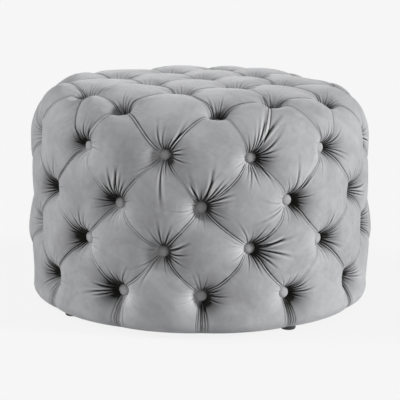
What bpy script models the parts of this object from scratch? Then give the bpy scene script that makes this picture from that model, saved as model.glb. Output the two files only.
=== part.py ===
"""Round ottoman, deep buttoned all over in velvet, on four short feet.

Metres, +Z up, origin on the floor under the centre, front towards -Y.
A column angle is counted from the front (-Y) towards +X.
Deep buttoning is the work here: every pillow is a crowned patch between its buttons, and the cover,
the foam, the twine and the drilled frame all take their places from the same grid of buttons.
"""
import math

import bmesh
import bpy
from mathutils import Matrix, Vector

for old in list(bpy.data.objects):
    bpy.data.objects.remove(old, do_unlink=True)

UP = Vector((0.0, 0.0, 1.0))
GAP = 0.0003                      # left between two pieces that touch
SHARP_ANGLE = math.radians(35.0)  # two faces that meet at more than this show an edge

# Outer form, measured over the crowns of the pillows
OUTER_RADIUS = 0.350
OVERALL_HEIGHT = 0.475
FOOT_HEIGHT = 0.010
SHOULDER_RADIUS = 0.105
DOME_RADIUS = 1.450
EDGE_RADIUS = 0.025

# Buttons
COLUMNS = 24                      # button columns round the side, every second one used in a row
FIRST_ROW_RISE = 0.0075           # row 1 lies this far up the shoulder's rounding
LAST_ROW_HEIGHT = 0.071           # row 4 over the hem
ROW_SHARES = (0.0, 0.36, 0.67, 1.0)  # where rows 1 to 4 lie between the first and the last
RING_LEAN = math.radians(63.0)    # how far up the shoulder the ring of buttons sits
RING_MARGIN = 0.0387              # the ring lies this far outside two pitches of the top's lattice
SIDE_BUTTON_DEPTH = 0.033
TOP_BUTTON_DEPTH = 0.027
PLEAT_DEPTH = 0.013               # how deep a pleat lies halfway between two buttons
HEM_PLEAT_DEPTHS = (0.014, 0.008, 0.0, 0.0)
BUTTON_RADIUS = 0.0125
BUTTON_BACK_SHARE = 0.29          # its tapered back fills this share of the funnel in the cloth
BUTTON_DOME = 0.0046              # height of the covered dome over its rim
BUTTON_DOME_RADIUS = 0.00825       # ring where the covered dome turns to its flat crown
BUTTON_DOME_DROP = 0.001          # that ring lies this much under the crown
BUTTON_SIDES = 8

CROWN_POWER = 0.35                # how steeply a pillow rises from its pleats
CROWN_FULLNESS = 1.06             # how far its full height spreads

# Cloth and filling
COVER_THICKNESS = 0.0018
COVER_HOLE = 0.035                # share of a pillow's side that is cut away at its button
WADDING = 0.0030                  # soft layer between the cover and the foam, left empty here
FOAM_HOLLOW = 0.0025              # the foam is pressed this much deeper under pleats and buttons
SEAM_EASE = 0.00025               # each cut edge stops this far short of the seam
HEM_WIDTH = 0.055                 # cover turned under the base
DUST_COVER_OVERLAP = 0.015
DUST_COVER_THICKNESS = 0.0008

# Wooden frame
SIDE_PADDING = 0.058              # from the crowns of the side to the frame
TOP_PADDING = 0.084               # from the crown of the top to the top board
BASE_MARGIN = 0.003               # the base ends this far inside the rounding of the hem
BASE_RING_WIDTH = 0.102
BASE_THICKNESS = 0.018
BOARD_THICKNESS = 0.015
PANEL_THICKNESS = 0.004
PANEL_SLIT = 0.0015
UPRIGHTS = 6
UPRIGHT_WIDTH = 0.045
UPRIGHT_DEPTH = 0.022
FIRST_UPRIGHT = math.radians(7.5)  # uprights stand midway between two button columns
FRAME_SEGMENTS = 48

# Twine, its knots and the holes made for it
TWINE_RADIUS = 0.0012
TWINE_SIDES = 4
TWINE_HOLE_RADIUS = 0.004
TWINE_HOLE_SIDES = 3
KNOT_RADIUS = 0.0045
KNOT_HEIGHT = 0.0012
TWINE_TAIL = 0.002                # stands out inside the side panel, to which it is stapled

# Feet and screws
FEET = 4
FIRST_FOOT = math.radians(47.5)   # as photographed, a little past the diagonal
FOOT_INSET = 0.042                # from the crowns of the side to the middle of a foot
FOOT_RADIUS = 0.015
FOOT_ROUNDING = 0.003
FOOT_BORE_RADIUS = 0.0024
FOOT_POCKET_RADIUS = 0.0056
FOOT_POCKET_DEPTH = 0.0050
FOOT_SEGMENTS = 16
SCREW_RADIUS = 0.0018
SCREW_HEAD_RADIUS = 0.0040
SCREW_HEAD_HEIGHT = 0.0026
FOOT_SCREW_LENGTH = 0.025
FRAME_SCREW_LENGTH = 0.045
SCREW_SIDES = 8

# Places that follow from the sizes above
BODY_BOTTOM = FOOT_HEIGHT
SHOULDER_R = OUTER_RADIUS - SHOULDER_RADIUS
DOME_Z = OVERALL_HEIGHT - DOME_RADIUS
SHOULDER_Z = DOME_Z + math.sqrt((DOME_RADIUS - SHOULDER_RADIUS) ** 2 - SHOULDER_R ** 2)
EDGE_R = OUTER_RADIUS - EDGE_RADIUS
EDGE_Z = BODY_BOTTOM + EDGE_RADIUS
BASE_BOTTOM = BODY_BOTTOM + COVER_THICKNESS + GAP
BASE_TOP = BASE_BOTTOM + BASE_THICKNESS
BASE_RADIUS = EDGE_R - BASE_MARGIN
BASE_OPENING_RADIUS = BASE_RADIUS - BASE_RING_WIDTH
FRAME_RADIUS = OUTER_RADIUS - SIDE_PADDING
BOARD_TOP = OVERALL_HEIGHT - TOP_PADDING
BOARD_BOTTOM = BOARD_TOP - BOARD_THICKNESS
PANEL_INNER = FRAME_RADIUS + GAP
PANEL_OUTER = PANEL_INNER + PANEL_THICKNESS
HEM_INNER = EDGE_R - HEM_WIDTH
BUTTON_BACK_HEIGHT = BUTTON_BACK_SHARE * SIDE_BUTTON_DEPTH
BUTTON_HEIGHT = BUTTON_BACK_HEIGHT + BUTTON_DOME
FOOT_CIRCLE_RADIUS = OUTER_RADIUS - FOOT_INSET
RING_RADIUS = SHOULDER_R + SHOULDER_RADIUS * math.cos(RING_LEAN)
RING_Z = SHOULDER_Z + SHOULDER_RADIUS * math.sin(RING_LEAN)
TOP_PITCH = 0.5 * (RING_RADIUS - RING_MARGIN)
FIRST_ROW_Z = SHOULDER_Z + FIRST_ROW_RISE
LAST_ROW_Z = BODY_BOTTOM + LAST_ROW_HEIGHT
COLUMN_STEP = 2.0 * math.pi / COLUMNS
QUARTER = COLUMNS // 4


def direction(angle):
    """Level unit vector at an angle counted from the front towards +X."""
    return Vector((math.sin(angle), -math.cos(angle), 0.0))


def envelope(point):
    """Nearest point of the smooth form over the crowns, and its outward normal."""
    spoke = Vector((point.x, point.y, 0.0))
    radius = spoke.length
    out = spoke / radius if radius > 1e-9 else Vector((1.0, 0.0, 0.0))
    if point.z < EDGE_Z and radius <= EDGE_R:
        return out * radius + UP * BODY_BOTTOM, -UP
    if EDGE_Z <= point.z < SHOULDER_Z:
        return out * OUTER_RADIUS + UP * point.z, out
    if point.z < EDGE_Z:
        centre_r, centre_z, size = EDGE_R, EDGE_Z, EDGE_RADIUS
    elif radius * (SHOULDER_Z - DOME_Z) < SHOULDER_R * (point.z - DOME_Z):
        centre_r, centre_z, size = 0.0, DOME_Z, DOME_RADIUS
    else:
        centre_r, centre_z, size = SHOULDER_R, SHOULDER_Z, SHOULDER_RADIUS
    ray = Vector((radius - centre_r, point.z - centre_z)).normalized()
    normal = out * ray.x + UP * ray.y
    return out * centre_r + UP * centre_z + normal * size, normal


# The grid of buttons: row 0 is the ring on the shoulder, rows 1 to 4 go down the side
def side_button(row, column):
    """Crown point over a button of the side, and how deep that button is pulled."""
    out = direction(column * COLUMN_STEP)
    if row == 0:
        return out * RING_RADIUS + UP * RING_Z, TOP_BUTTON_DEPTH
    height = FIRST_ROW_Z + (LAST_ROW_Z - FIRST_ROW_Z) * ROW_SHARES[row - 1]
    place, normal = envelope(out * OUTER_RADIUS + UP * height)
    return place, SIDE_BUTTON_DEPTH


def top_button(i, j, quarter):
    """Crown point over a button of the top; i and j count along two diagonals of one quarter."""
    if i == 2:
        return side_button(0, quarter * QUARTER + QUARTER // 2 + 2 * j)
    if j == 2:
        return side_button(0, quarter * QUARTER + 3 * QUARTER // 2 - 2 * i)
    turn = (quarter + 0.5) * 0.5 * math.pi
    flat = (direction(turn) * i + direction(turn + 0.5 * math.pi) * j) * TOP_PITCH
    place, normal = envelope(flat + UP * OVERALL_HEIGHT)
    return place, TOP_BUTTON_DEPTH


def button_columns(row):
    return range((row + 1) % 2, COLUMNS, 2)


# Pillows: a patch between buttons, given at its own coordinates a and b from 0 to 1
FINE = (0.0, 0.2, 0.5, 0.8, 1.0)
COARSE = (0.0, 0.5, 1.0)


def crown_share(a, b, pleats):
    """1 over the middle of a pillow, 0 in its pleats; pleats is how many sides are pleated."""
    if pleats == 4:
        swell = 16.0 * a * (1.0 - a) * b * (1.0 - b)
    elif pleats == 3:
        swell = 27.0 * a * b * max(0.0, 1.0 - a - b)
    else:
        swell = 4.0 * a * b
    return min(1.0, CROWN_FULLNESS * swell ** CROWN_POWER)


def pillow_depth(a, b, seat, pleats):
    arch = max(4.0 * a * (1.0 - a), 4.0 * b * (1.0 - b))
    if pleats == 3:
        c = max(0.0, 1.0 - a - b)
        arch = 4.0 * max(a * b, b * c, a * c)
    pleat = seat - (seat - min(seat, PLEAT_DEPTH)) * math.sqrt(max(0.0, arch))
    return pleat * (1.0 - crown_share(a, b, pleats))


def pillow(corners, steps, pleats=4, part="all", cut=True):
    """Polygons of one pillow. corners are the buttons at (0,0), (1,0), (1,1) and (0,1)."""
    def vertex(a, b):
        weights = ((1 - a) * (1 - b), a * (1 - b), a * b, (1 - a) * b)
        spot = sum((c[0] * w for c, w in zip(corners, weights)), Vector((0.0, 0.0, 0.0)))
        seat = sum(c[1] * w for c, w in zip(corners, weights))
        place, normal = envelope(spot)
        return place, normal, pillow_depth(a, b, seat, pleats)

    def rim(corner, other):
        """Point on the rim of the button's hole, on the way from a corner to another point."""
        steps_in = [COVER_HOLE if to > start else -COVER_HOLE if to < start else 0.0
                    for start, to in zip(corner, other)]
        place, normal, depth = vertex(corner[0] + steps_in[0], corner[1] + steps_in[1])
        seat = corners[(0, 1, 3, 2)[int(corner[0]) + 2 * int(corner[1])]][1]
        return place, normal, seat

    polygons = []
    for i in range(len(steps) - 1):
        for j in range(len(steps) - 1):
            a0, a1, b0, b1 = steps[i], steps[i + 1], steps[j], steps[j + 1]
            lower = ((a0, b0), (a1, b0), (a0, b1))
            upper = ((a1, b0), (a1, b1), (a0, b1))
            for triangle in (lower, upper):
                middle = sum(a + b for a, b in triangle) / 3.0
                if part == "near" and middle > 1.0 or part == "far" and middle < 1.0:
                    continue
                ring = []
                for k, corner in enumerate(triangle):
                    at_button = corner[0] in (0.0, 1.0) and corner[1] in (0.0, 1.0)
                    if at_button and cut:
                        ring.append(rim(corner, triangle[k - 1]))
                        ring.append(rim(corner, triangle[(k + 1) % 3]))
                    else:
                        place, normal, depth = vertex(*corner)
                        pressed = FOAM_HOLLOW if depth > 0.0 and not cut else 0.0
                        ring.append((place, normal, depth + pressed))
                polygons.append(ring)
    return polygons


def beyond(tip, left, right):
    """Fourth corner that makes a flat three-cornered patch out of a pillow."""
    return left[0] + right[0] - tip[0], left[1] + right[1] - tip[1]


def hem_rows():
    """Radius and height of the cover's rows below the last row of buttons."""
    slant = EDGE_RADIUS * math.sqrt(0.5)
    return ((OUTER_RADIUS, EDGE_Z), (EDGE_R + slant, EDGE_Z - slant),
            (EDGE_R, BODY_BOTTOM), (HEM_INNER, BODY_BOTTOM))


def hem_pillow(column, steps, rows, cut=True):
    """Pillow at the bottom: a point under row 3, then straight down between two upright pleats."""
    tip = side_button(3, column)
    left = side_button(4, column - 1)
    right = side_button(4, column + 1)
    polygons = pillow((tip, right, beyond(tip, left, right), left), steps, 2, "near", cut)

    def across(share, row):
        flat = left[0] * (1.0 - share) + right[0] * share
        if row == 0:
            place, normal = envelope(flat)
            return place, normal, pillow_depth(share, 1.0 - share, SIDE_BUTTON_DEPTH, 2)
        radius, height = hem_rows()[row - 1]
        place, normal = envelope(Vector((flat.x, flat.y, 0.0)).normalized() * radius + UP * height)
        return place, normal, pillow_depth(share, 1.0 - share, HEM_PLEAT_DEPTHS[row - 1], 2)

    def corner_cut(share):
        """The two rim points that stand for a button's corner of the first row."""
        inner = abs(share - COVER_HOLE)
        place, normal = envelope(left[0] * (1.0 - inner) + right[0] * inner)
        flat = (left if share < 0.5 else right)[0]
        drop = COVER_HOLE * (left[0] - right[0]).length
        under, under_normal = envelope(flat - UP * drop)
        return (place, normal, SIDE_BUTTON_DEPTH), (under, under_normal, SIDE_BUTTON_DEPTH)

    for row in range(rows):
        for s0, s1 in zip(steps, steps[1:]):
            quad = [across(s0, row), across(s0, row + 1), across(s1, row + 1), across(s1, row)]
            if cut and row == 0 and s0 == 0.0:
                beside, under = corner_cut(0.0)
                quad = [beside, under] + quad[1:]
            if cut and row == 0 and s1 == 1.0:
                beside, under = corner_cut(1.0)
                quad = quad[:3] + [under, beside]
            polygons.append(quad)
    return polygons


def side_pillows(columns, steps, rows, cut=True):
    """Polygons of the side between the ring of buttons and the hem, for some of the columns."""
    polygons = []
    for column in columns:
        for row in (1, 2, 3):
            if (row + column) % 2 == 0:
                corners = (side_button(row - 1, column), side_button(row, column + 1),
                           side_button(row + 1, column), side_button(row, column - 1))
                polygons += pillow(corners, steps, 4, "all", cut)
        if column % 2 == 0:
            polygons += hem_pillow(column, steps, rows, cut)
            if column % QUARTER:
                tip = side_button(1, column)
                left, right = side_button(0, column - 1), side_button(0, column + 1)
                polygons += pillow((tip, right, beyond(tip, left, right), left), steps, 3, "near", cut)
    return polygons


def corner_pillows(steps, part, cut=True):
    """The four pillows that run from the top over the shoulder to a button of row 1."""
    polygons = []
    for quarter in range(4):
        corners = (top_button(1, 1, quarter), top_button(2, 1, quarter),
                   side_button(1, (quarter + 1) * QUARTER), top_button(1, 2, quarter))
        polygons += pillow(corners, steps, 4, part, cut)
    return polygons


def top_pillows(steps, cut=True):
    polygons = []
    for quarter in range(4):
        for i, j in ((0, 0), (1, 0), (0, 1)):
            corners = [top_button(i + di, j + dj, quarter) for di, dj in ((0, 0), (1, 0), (1, 1), (0, 1))]
            polygons += pillow(corners, steps, 4, "all", cut)
    return polygons


# Building meshes
def material(name, colour, roughness, metallic=0.0):
    made = bpy.data.materials.get(name)
    if made is None:
        made = bpy.data.materials.new(name)
        made.use_nodes = True
        shader = made.node_tree.nodes["Principled BSDF"]
        shader.inputs["Base Color"].default_value = (*colour, 1.0)
        shader.inputs["Roughness"].default_value = roughness
        shader.inputs["Metallic"].default_value = metallic
    return made


VELVET = ("velvet", (0.36, 0.36, 0.36), 0.9)
FOAM = ("foam", (0.86, 0.82, 0.66), 0.95)
PLYWOOD = ("plywood", (0.62, 0.46, 0.29), 0.7)
PINE = ("pine", (0.74, 0.58, 0.38), 0.7)
BLACK_CLOTH = ("black_cloth", (0.02, 0.02, 0.02), 0.95)
BLACK_PLASTIC = ("black_plastic", (0.015, 0.015, 0.015), 0.45)
STEEL = ("screw_steel", (0.60, 0.58, 0.50), 0.35, 1.0)


def finish(name, mesh, look, smooth=True):
    """Makes the named object of a bmesh, with its faces pointing out and its own material."""
    bmesh.ops.recalc_face_normals(mesh, faces=mesh.faces)
    data = bpy.data.meshes.new(name)
    mesh.to_mesh(data)
    mesh.free()
    if smooth:
        data.shade_smooth()
        data.set_sharp_from_angle(angle=SHARP_ANGLE)
    part = bpy.data.objects.new(name, data)
    bpy.context.collection.objects.link(part)
    data.materials.append(material(*look))
    return part


def sheet(polygons, offset):
    """Open mesh of the polygons, offset inwards from their depth, and the inward way at each point."""
    mesh = bmesh.new()
    points = {}
    inward = {}
    for polygon in polygons:
        face = []
        for place, normal, depth in polygon:
            key = tuple(round(value, 5) for value in place)
            if key not in points:
                points[key] = mesh.verts.new(place - normal * (depth + offset))
                inward[points[key]] = -normal
            if points[key] not in face:
                face.append(points[key])
        mesh.faces.new(face)
    return mesh, inward


def draw_back(mesh):
    """Moves the cut edges of a sheet towards its own cloth, so that two sheets leave a seam."""
    moves = {}
    for vert in mesh.verts:
        if vert.is_boundary:
            inside = sum((f.calc_center_median() for f in vert.link_faces), Vector((0.0, 0.0, 0.0)))
            moves[vert] = (inside / len(vert.link_faces) - vert.co).normalized() * SEAM_EASE
    for vert, move in moves.items():
        vert.co += move


def thicken(mesh, inward, thickness):
    """Gives the sheet its thickness, along each point's own way inwards."""
    borders = [edge for edge in mesh.edges if edge.is_boundary]
    faces = list(mesh.faces)
    under = {vert: mesh.verts.new(vert.co + way * thickness) for vert, way in inward.items()}
    for face in faces:
        mesh.faces.new([under[vert] for vert in reversed(face.verts)])
    for edge in borders:
        first, second = edge.verts
        mesh.faces.new((first, second, under[second], under[first]))


def cover(name, polygons):
    mesh, inward = sheet(polygons, 0.0)
    draw_back(mesh)
    thicken(mesh, inward, COVER_THICKNESS)
    return finish(name, mesh, VELVET)


def turned_ring(mesh, radius, height, count):
    """Ring of vertices in order of their angle; its flats, not its corners, face the button columns."""
    if radius < 1e-9:
        return [mesh.verts.new((0.0, 0.0, height))]
    return [mesh.verts.new(direction(2.0 * math.pi * (k + 0.5) / count) * radius + UP * height)
            for k in range(count)]


def lathe(mesh, profile, segments, close=True, frame=None):
    """Turns a profile of (radius, height) points about Z, then moves it to a frame.

    A point may give its own number of sides, half of the others, as twine under a button.
    """
    rings = [turned_ring(mesh, point[0], point[1], point[2] if len(point) > 2 else segments)
             for point in profile]
    pairs = list(zip(rings, rings[1:]))
    if close:
        pairs.append((rings[-1], rings[0]))
    for low, high in pairs:
        count = max(len(low), len(high))
        for k in range(count):
            corners = [ring[step * len(ring) // count % len(ring)]
                       for ring, step in ((low, k), (low, k + 1), (high, k + 1), (high, k))]
            mesh.faces.new(list(dict.fromkeys(corners)))
    if not close:
        for ring in (rings[0], rings[-1]):
            if len(ring) > 1:
                mesh.faces.new(ring)
    if frame is not None:
        bmesh.ops.transform(mesh, matrix=frame, verts=[vert for ring in rings for vert in ring])


def block(mesh, size, frame):
    made = bmesh.ops.create_cube(mesh, size=1.0)["verts"]
    bmesh.ops.transform(mesh, matrix=frame @ Matrix.Diagonal((*size, 1.0)), verts=made)


def frame_at(place, axis, across=UP):
    """Matrix whose Z is an axis and whose X lies as near to across as it can."""
    side = across - axis * across.dot(axis)
    if side.length < 1e-6:
        side = Vector((1.0, 0.0, 0.0))
    side.normalize()
    third = axis.cross(side)
    turned = Matrix((side, third, axis)).transposed().to_4x4()
    return Matrix.Translation(place) @ turned


def cutter(name, mesh, look=STEEL):
    """A shape that only works on others: it is a guide, not a piece."""
    tool = finish(name, mesh, look, smooth=False)
    tool.hide_render = True
    tool.display_type = "WIRE"
    return tool


def cut(piece, tool, operation="DIFFERENCE"):
    change = piece.modifiers.new(tool.name, "BOOLEAN")
    change.operation = operation
    change.solver = "EXACT"
    change.material_mode = "TRANSFER"
    change.object = tool


# Every button's seat: its place on the cover, the way it faces, and the length of its twine
def seat_over(button):
    crown, depth = button
    place, normal = envelope(crown)
    return crown - normal * depth, normal


def board_seats(buttons):
    """Seats of buttons tied under the top board; the knot clears the board, also where it leans."""
    seats = []
    for button in buttons:
        seat, normal = seat_over(button)
        lean = math.hypot(normal.x, normal.y)
        drop = seat.z - BOARD_BOTTOM + GAP + KNOT_RADIUS * lean
        seats.append((seat, normal, drop / normal.z))
    return seats


def panel_seats(buttons):
    """Seats of buttons whose twine is stapled inside the side panel."""
    seats = []
    for button in buttons:
        seat, normal = seat_over(button)
        inwards = math.hypot(seat.x, seat.y) - PANEL_INNER
        seats.append((seat, normal, inwards / math.hypot(normal.x, normal.y) + TWINE_TAIL))
    return seats


top_seats = board_seats([top_button(0, 0, 0)] + [top_button(1, j, quarter)
                                                 for quarter in range(4) for j in (0, 1)])
edge_seats = board_seats([side_button(0, column) for column in button_columns(0)])
side_seats = panel_seats([side_button(row, column) for row in (1, 2, 3, 4)
                          for column in button_columns(row)])

# Cutters: the twine holes, the screw holes and the joint in the side panel
twine_cutter = bmesh.new()
for seat, normal, length in top_seats + edge_seats + side_seats:
    lathe(twine_cutter, ((TWINE_HOLE_RADIUS, -length - PANEL_THICKNESS),
                         (TWINE_HOLE_RADIUS, 2.0 * BUTTON_HEIGHT)),
          TWINE_HOLE_SIDES, False, frame_at(seat, normal))
twine_holes = cutter("twine_holes", twine_cutter)

UPRIGHT_ANGLES = [FIRST_UPRIGHT + 2.0 * math.pi * k / UPRIGHTS for k in range(UPRIGHTS)]
FOOT_ANGLES = [FIRST_FOOT + 2.0 * math.pi * k / FEET for k in range(FEET)]
UPRIGHT_FACE = math.sqrt((FRAME_RADIUS - GAP) ** 2 - (0.5 * UPRIGHT_WIDTH) ** 2) * math.cos(
    math.pi / FRAME_SEGMENTS)
UPRIGHT_CENTRE = UPRIGHT_FACE - 0.5 * UPRIGHT_DEPTH


def screw_profile(length, ease=0.0):
    """Countersunk screw, head up at height 0, from the head's face down to the point."""
    shank = SCREW_RADIUS + ease
    return ((SCREW_HEAD_RADIUS + ease, 0.0), (shank, -SCREW_HEAD_HEIGHT),
            (shank, SCREW_RADIUS - length - ease), (0.0, -length - 2.0 * ease))


FOOT_HEAD_Z = FOOT_POCKET_DEPTH - SCREW_HEAD_HEIGHT - GAP
foot_heads = [direction(angle) * FOOT_CIRCLE_RADIUS + UP * FOOT_HEAD_Z for angle in FOOT_ANGLES]
top_heads = [direction(angle) * UPRIGHT_CENTRE + UP * BOARD_TOP for angle in UPRIGHT_ANGLES]
base_heads = [direction(angle) * UPRIGHT_CENTRE + UP * BASE_BOTTOM for angle in UPRIGHT_ANGLES]
SCREW_GROUPS = (("foot_screw", foot_heads, -UP, FOOT_SCREW_LENGTH),
                ("top_board_screw", top_heads, UP, FRAME_SCREW_LENGTH),
                ("base_screw", base_heads, -UP, FRAME_SCREW_LENGTH))

screw_holes = {}
for group, heads, axis, length in SCREW_GROUPS:
    drilled = bmesh.new()
    for head in heads:
        lathe(drilled, ((SCREW_HEAD_RADIUS + GAP, GAP),) + screw_profile(length, GAP),
              SCREW_SIDES, False, frame_at(head, axis))
    screw_holes[group] = cutter("holes_for_" + group, drilled)

slit = bmesh.new()
slit_frame = frame_at(direction(UPRIGHT_ANGLES[UPRIGHTS // 2]) * PANEL_OUTER + UP * BOARD_TOP * 0.5,
                      direction(UPRIGHT_ANGLES[UPRIGHTS // 2]))
block(slit, (BOARD_TOP * 1.2, PANEL_SLIT, 4.0 * PANEL_THICKNESS), slit_frame)
panel_joint = cutter("panel_joint", slit)

# The base ring and the top board, plywood
base = bmesh.new()
lathe(base, ((BASE_OPENING_RADIUS, BASE_BOTTOM), (BASE_RADIUS, BASE_BOTTOM),
             (BASE_RADIUS, BASE_TOP), (BASE_OPENING_RADIUS, BASE_TOP)), FRAME_SEGMENTS)
base_ring = finish("base_ring", base, PLYWOOD)
cut(base_ring, screw_holes["foot_screw"])
cut(base_ring, screw_holes["base_screw"])

board = bmesh.new()
lathe(board, ((FRAME_RADIUS, BOARD_BOTTOM), (FRAME_RADIUS, BOARD_TOP)), FRAME_SEGMENTS, False)
top_board = finish("top_board", board, PLYWOOD)
cut(top_board, twine_holes)
cut(top_board, screw_holes["top_board_screw"])

# Pine uprights between them
for number, angle in enumerate(UPRIGHT_ANGLES, start=1):
    post = bmesh.new()
    height = BOARD_BOTTOM - BASE_TOP - 2.0 * GAP
    middle = direction(angle) * UPRIGHT_CENTRE + UP * 0.5 * (BOARD_BOTTOM + BASE_TOP)
    block(post, (height, UPRIGHT_WIDTH, UPRIGHT_DEPTH), frame_at(middle, direction(angle)))
    upright = finish("upright_%d" % number, post, PINE, smooth=False)
    cut(upright, screw_holes["top_board_screw"])
    cut(upright, screw_holes["base_screw"])

# Buttons: a covered dome on a tapered back, with its twine
def button_profile(start):
    """Button and twine from the given lower end upwards; height 0 is the seat on the cover."""
    return start + ((TWINE_RADIUS, GAP, TWINE_SIDES), (BUTTON_RADIUS, BUTTON_BACK_HEIGHT),
                    (BUTTON_DOME_RADIUS, BUTTON_HEIGHT - BUTTON_DOME_DROP), (0.0, BUTTON_HEIGHT))


for group, seats in (("button_top", top_seats), ("button_edge", edge_seats)):
    for number, (seat, normal, length) in enumerate(seats, start=1):
        button = bmesh.new()
        knotted = ((KNOT_RADIUS, -length - KNOT_HEIGHT, TWINE_SIDES), (TWINE_RADIUS, -length, TWINE_SIDES))
        lathe(button, button_profile(knotted), BUTTON_SIDES, False, frame_at(seat, normal))
        finish("%s_%d" % (group, number), button, VELVET)

# The side panel, one sheet of thin plywood bent round the frame, its joint on an upright.
# The side buttons are one with it, because their twine is stapled to it.
side_buttons = bmesh.new()
for seat, normal, length in side_seats:
    lathe(side_buttons, button_profile(((TWINE_RADIUS, -length, TWINE_SIDES),)), BUTTON_SIDES, False,
          frame_at(seat, normal))
bent = bmesh.new()
lathe(bent, ((PANEL_INNER, BASE_TOP + GAP), (PANEL_OUTER, BASE_TOP + GAP),
             (PANEL_OUTER, BOARD_TOP), (PANEL_INNER, BOARD_TOP)), FRAME_SEGMENTS)
side_panel = finish("side_panel", bent, PLYWOOD)
side_panel.data.materials.append(material(*VELVET))
cut(side_panel, panel_joint)
cut(side_panel, cutter("side_buttons", side_buttons, VELVET), "UNION")

# The foam: a pad on the top board and a wrap round the side, meeting under the ring of buttons
FOAM_OFFSET = COVER_THICKNESS + WADDING
FOAM_FLOOR = BOARD_TOP + GAP


def border_rings(mesh):
    """Open borders of a sheet as rings of vertices in order of their angle, the upper one first."""
    middle = 0.5 * (BODY_BOTTOM + OVERALL_HEIGHT)
    borders = [vert for vert in mesh.verts if vert.is_boundary]

    def angle(vert):
        """Counted from half a column before the front, so that no ring is split at its start."""
        return (math.atan2(vert.co.x, -vert.co.y) + 0.25 * COLUMN_STEP) % (2.0 * math.pi)

    upper = sorted((vert for vert in borders if vert.co.z > middle), key=angle)
    lower = sorted((vert for vert in borders if vert.co.z <= middle), key=angle)
    return upper, lower


def stitch(mesh, first, second):
    """Closes the band between two rings in order of their angle; the second may have more vertices."""
    share = len(second) // len(first)
    for k in range(len(first)):
        start = first[k]
        end = first[(k + 1) % len(first)]
        arc = [second[(k * share + step) % len(second)] for step in range(share + 1)]
        mesh.faces.new((start, end, arc[-1], arc[0]) if share == 1 else (start, arc[1], arc[0]))
        if share == 2:
            mesh.faces.new((start, end, arc[1]))
            mesh.faces.new((end, arc[2], arc[1]))


def level_ring(mesh, radius, height):
    """Ring of vertices at the same angles as the columns."""
    return [mesh.verts.new(direction(k * COLUMN_STEP) * radius + UP * height) for k in range(COLUMNS)]


pad = sheet(top_pillows(COARSE, False) + corner_pillows(COARSE, "near", False), FOAM_OFFSET)[0]
draw_back(pad)
upper, lower = border_rings(pad)
floor = [pad.verts.new((vert.co.x, vert.co.y, FOAM_FLOOR)) for vert in upper]
stitch(pad, upper, floor)
pad.faces.new(floor)
top_foam = finish("top_foam", pad, FOAM)
cut(top_foam, twine_holes)

wrap = sheet(side_pillows(range(COLUMNS), COARSE, 2, False) + corner_pillows(COARSE, "far", False),
             FOAM_OFFSET)[0]
draw_back(wrap)
upper, lower = border_rings(wrap)
last = [wrap.verts.new((vert.co.x, vert.co.y, FOAM_FLOOR)) for vert in upper]
stitch(wrap, upper, last)
for radius, height in ((PANEL_OUTER, FOAM_FLOOR), (PANEL_OUTER, BASE_TOP + GAP),
                       (BASE_RADIUS, BASE_TOP + GAP),
                       (BASE_RADIUS, BODY_BOTTOM + FOAM_OFFSET)):
    ring = level_ring(wrap, (radius + GAP) / math.cos(0.5 * COLUMN_STEP), height)
    stitch(wrap, last, ring)
    last = ring
stitch(wrap, last, lower)
side_foam = finish("side_foam", wrap, FOAM)
cut(side_foam, twine_holes)

# The cover: a top piece and three side pieces, joined where the pleats hide the seams
cover("top_cover", top_pillows(FINE) + corner_pillows(FINE, "all"))
for number, side in enumerate(("front", "right", "left")):
    first = number * COLUMNS // 3 - COLUMNS // 12
    panel = cover("side_cover_" + side, side_pillows(range(first, first + COLUMNS // 3), FINE, 4))
    cut(panel, screw_holes["foot_screw"])

# The dust cover under the base, over the turned hem
dust = bmesh.new()
lathe(dust, ((HEM_INNER + DUST_COVER_OVERLAP, BODY_BOTTOM - GAP - DUST_COVER_THICKNESS),
             (HEM_INNER + DUST_COVER_OVERLAP, BODY_BOTTOM - GAP)), FRAME_SEGMENTS, False)
finish("dust_cover", dust, BLACK_CLOTH)

# Four moulded feet with a pocket for the screw's head, and all the screws
for number, angle in enumerate(FOOT_ANGLES, start=1):
    foot = bmesh.new()
    bevel = FOOT_ROUNDING * (1.0 - math.sqrt(0.5))
    lathe(foot, ((FOOT_BORE_RADIUS, FOOT_HEIGHT - GAP), (FOOT_RADIUS, FOOT_HEIGHT - GAP),
                 (FOOT_RADIUS, FOOT_ROUNDING), (FOOT_RADIUS - bevel, bevel),
                 (FOOT_RADIUS - FOOT_ROUNDING, 0.0), (FOOT_POCKET_RADIUS, 0.0),
                 (FOOT_POCKET_RADIUS, FOOT_POCKET_DEPTH), (FOOT_BORE_RADIUS, FOOT_POCKET_DEPTH)),
          FOOT_SEGMENTS, True, Matrix.Translation(direction(angle) * FOOT_CIRCLE_RADIUS))
    finish("foot_%d" % number, foot, BLACK_PLASTIC)

for group, heads, axis, length in SCREW_GROUPS:
    for number, head in enumerate(heads, start=1):
        screw = bmesh.new()
        lathe(screw, screw_profile(length), SCREW_SIDES, False, frame_at(head, axis))
        finish("%s_%d" % (group, number), screw, STEEL)
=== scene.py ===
"""Looks of the round tufted ottoman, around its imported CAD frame.

Metres, +Z up, origin on the floor under the centre, front towards -Y. An angle is counted from the
front towards +X.
"""
import math

import bmesh
import bpy
import numpy as np
from mathutils import Matrix, Vector


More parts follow.
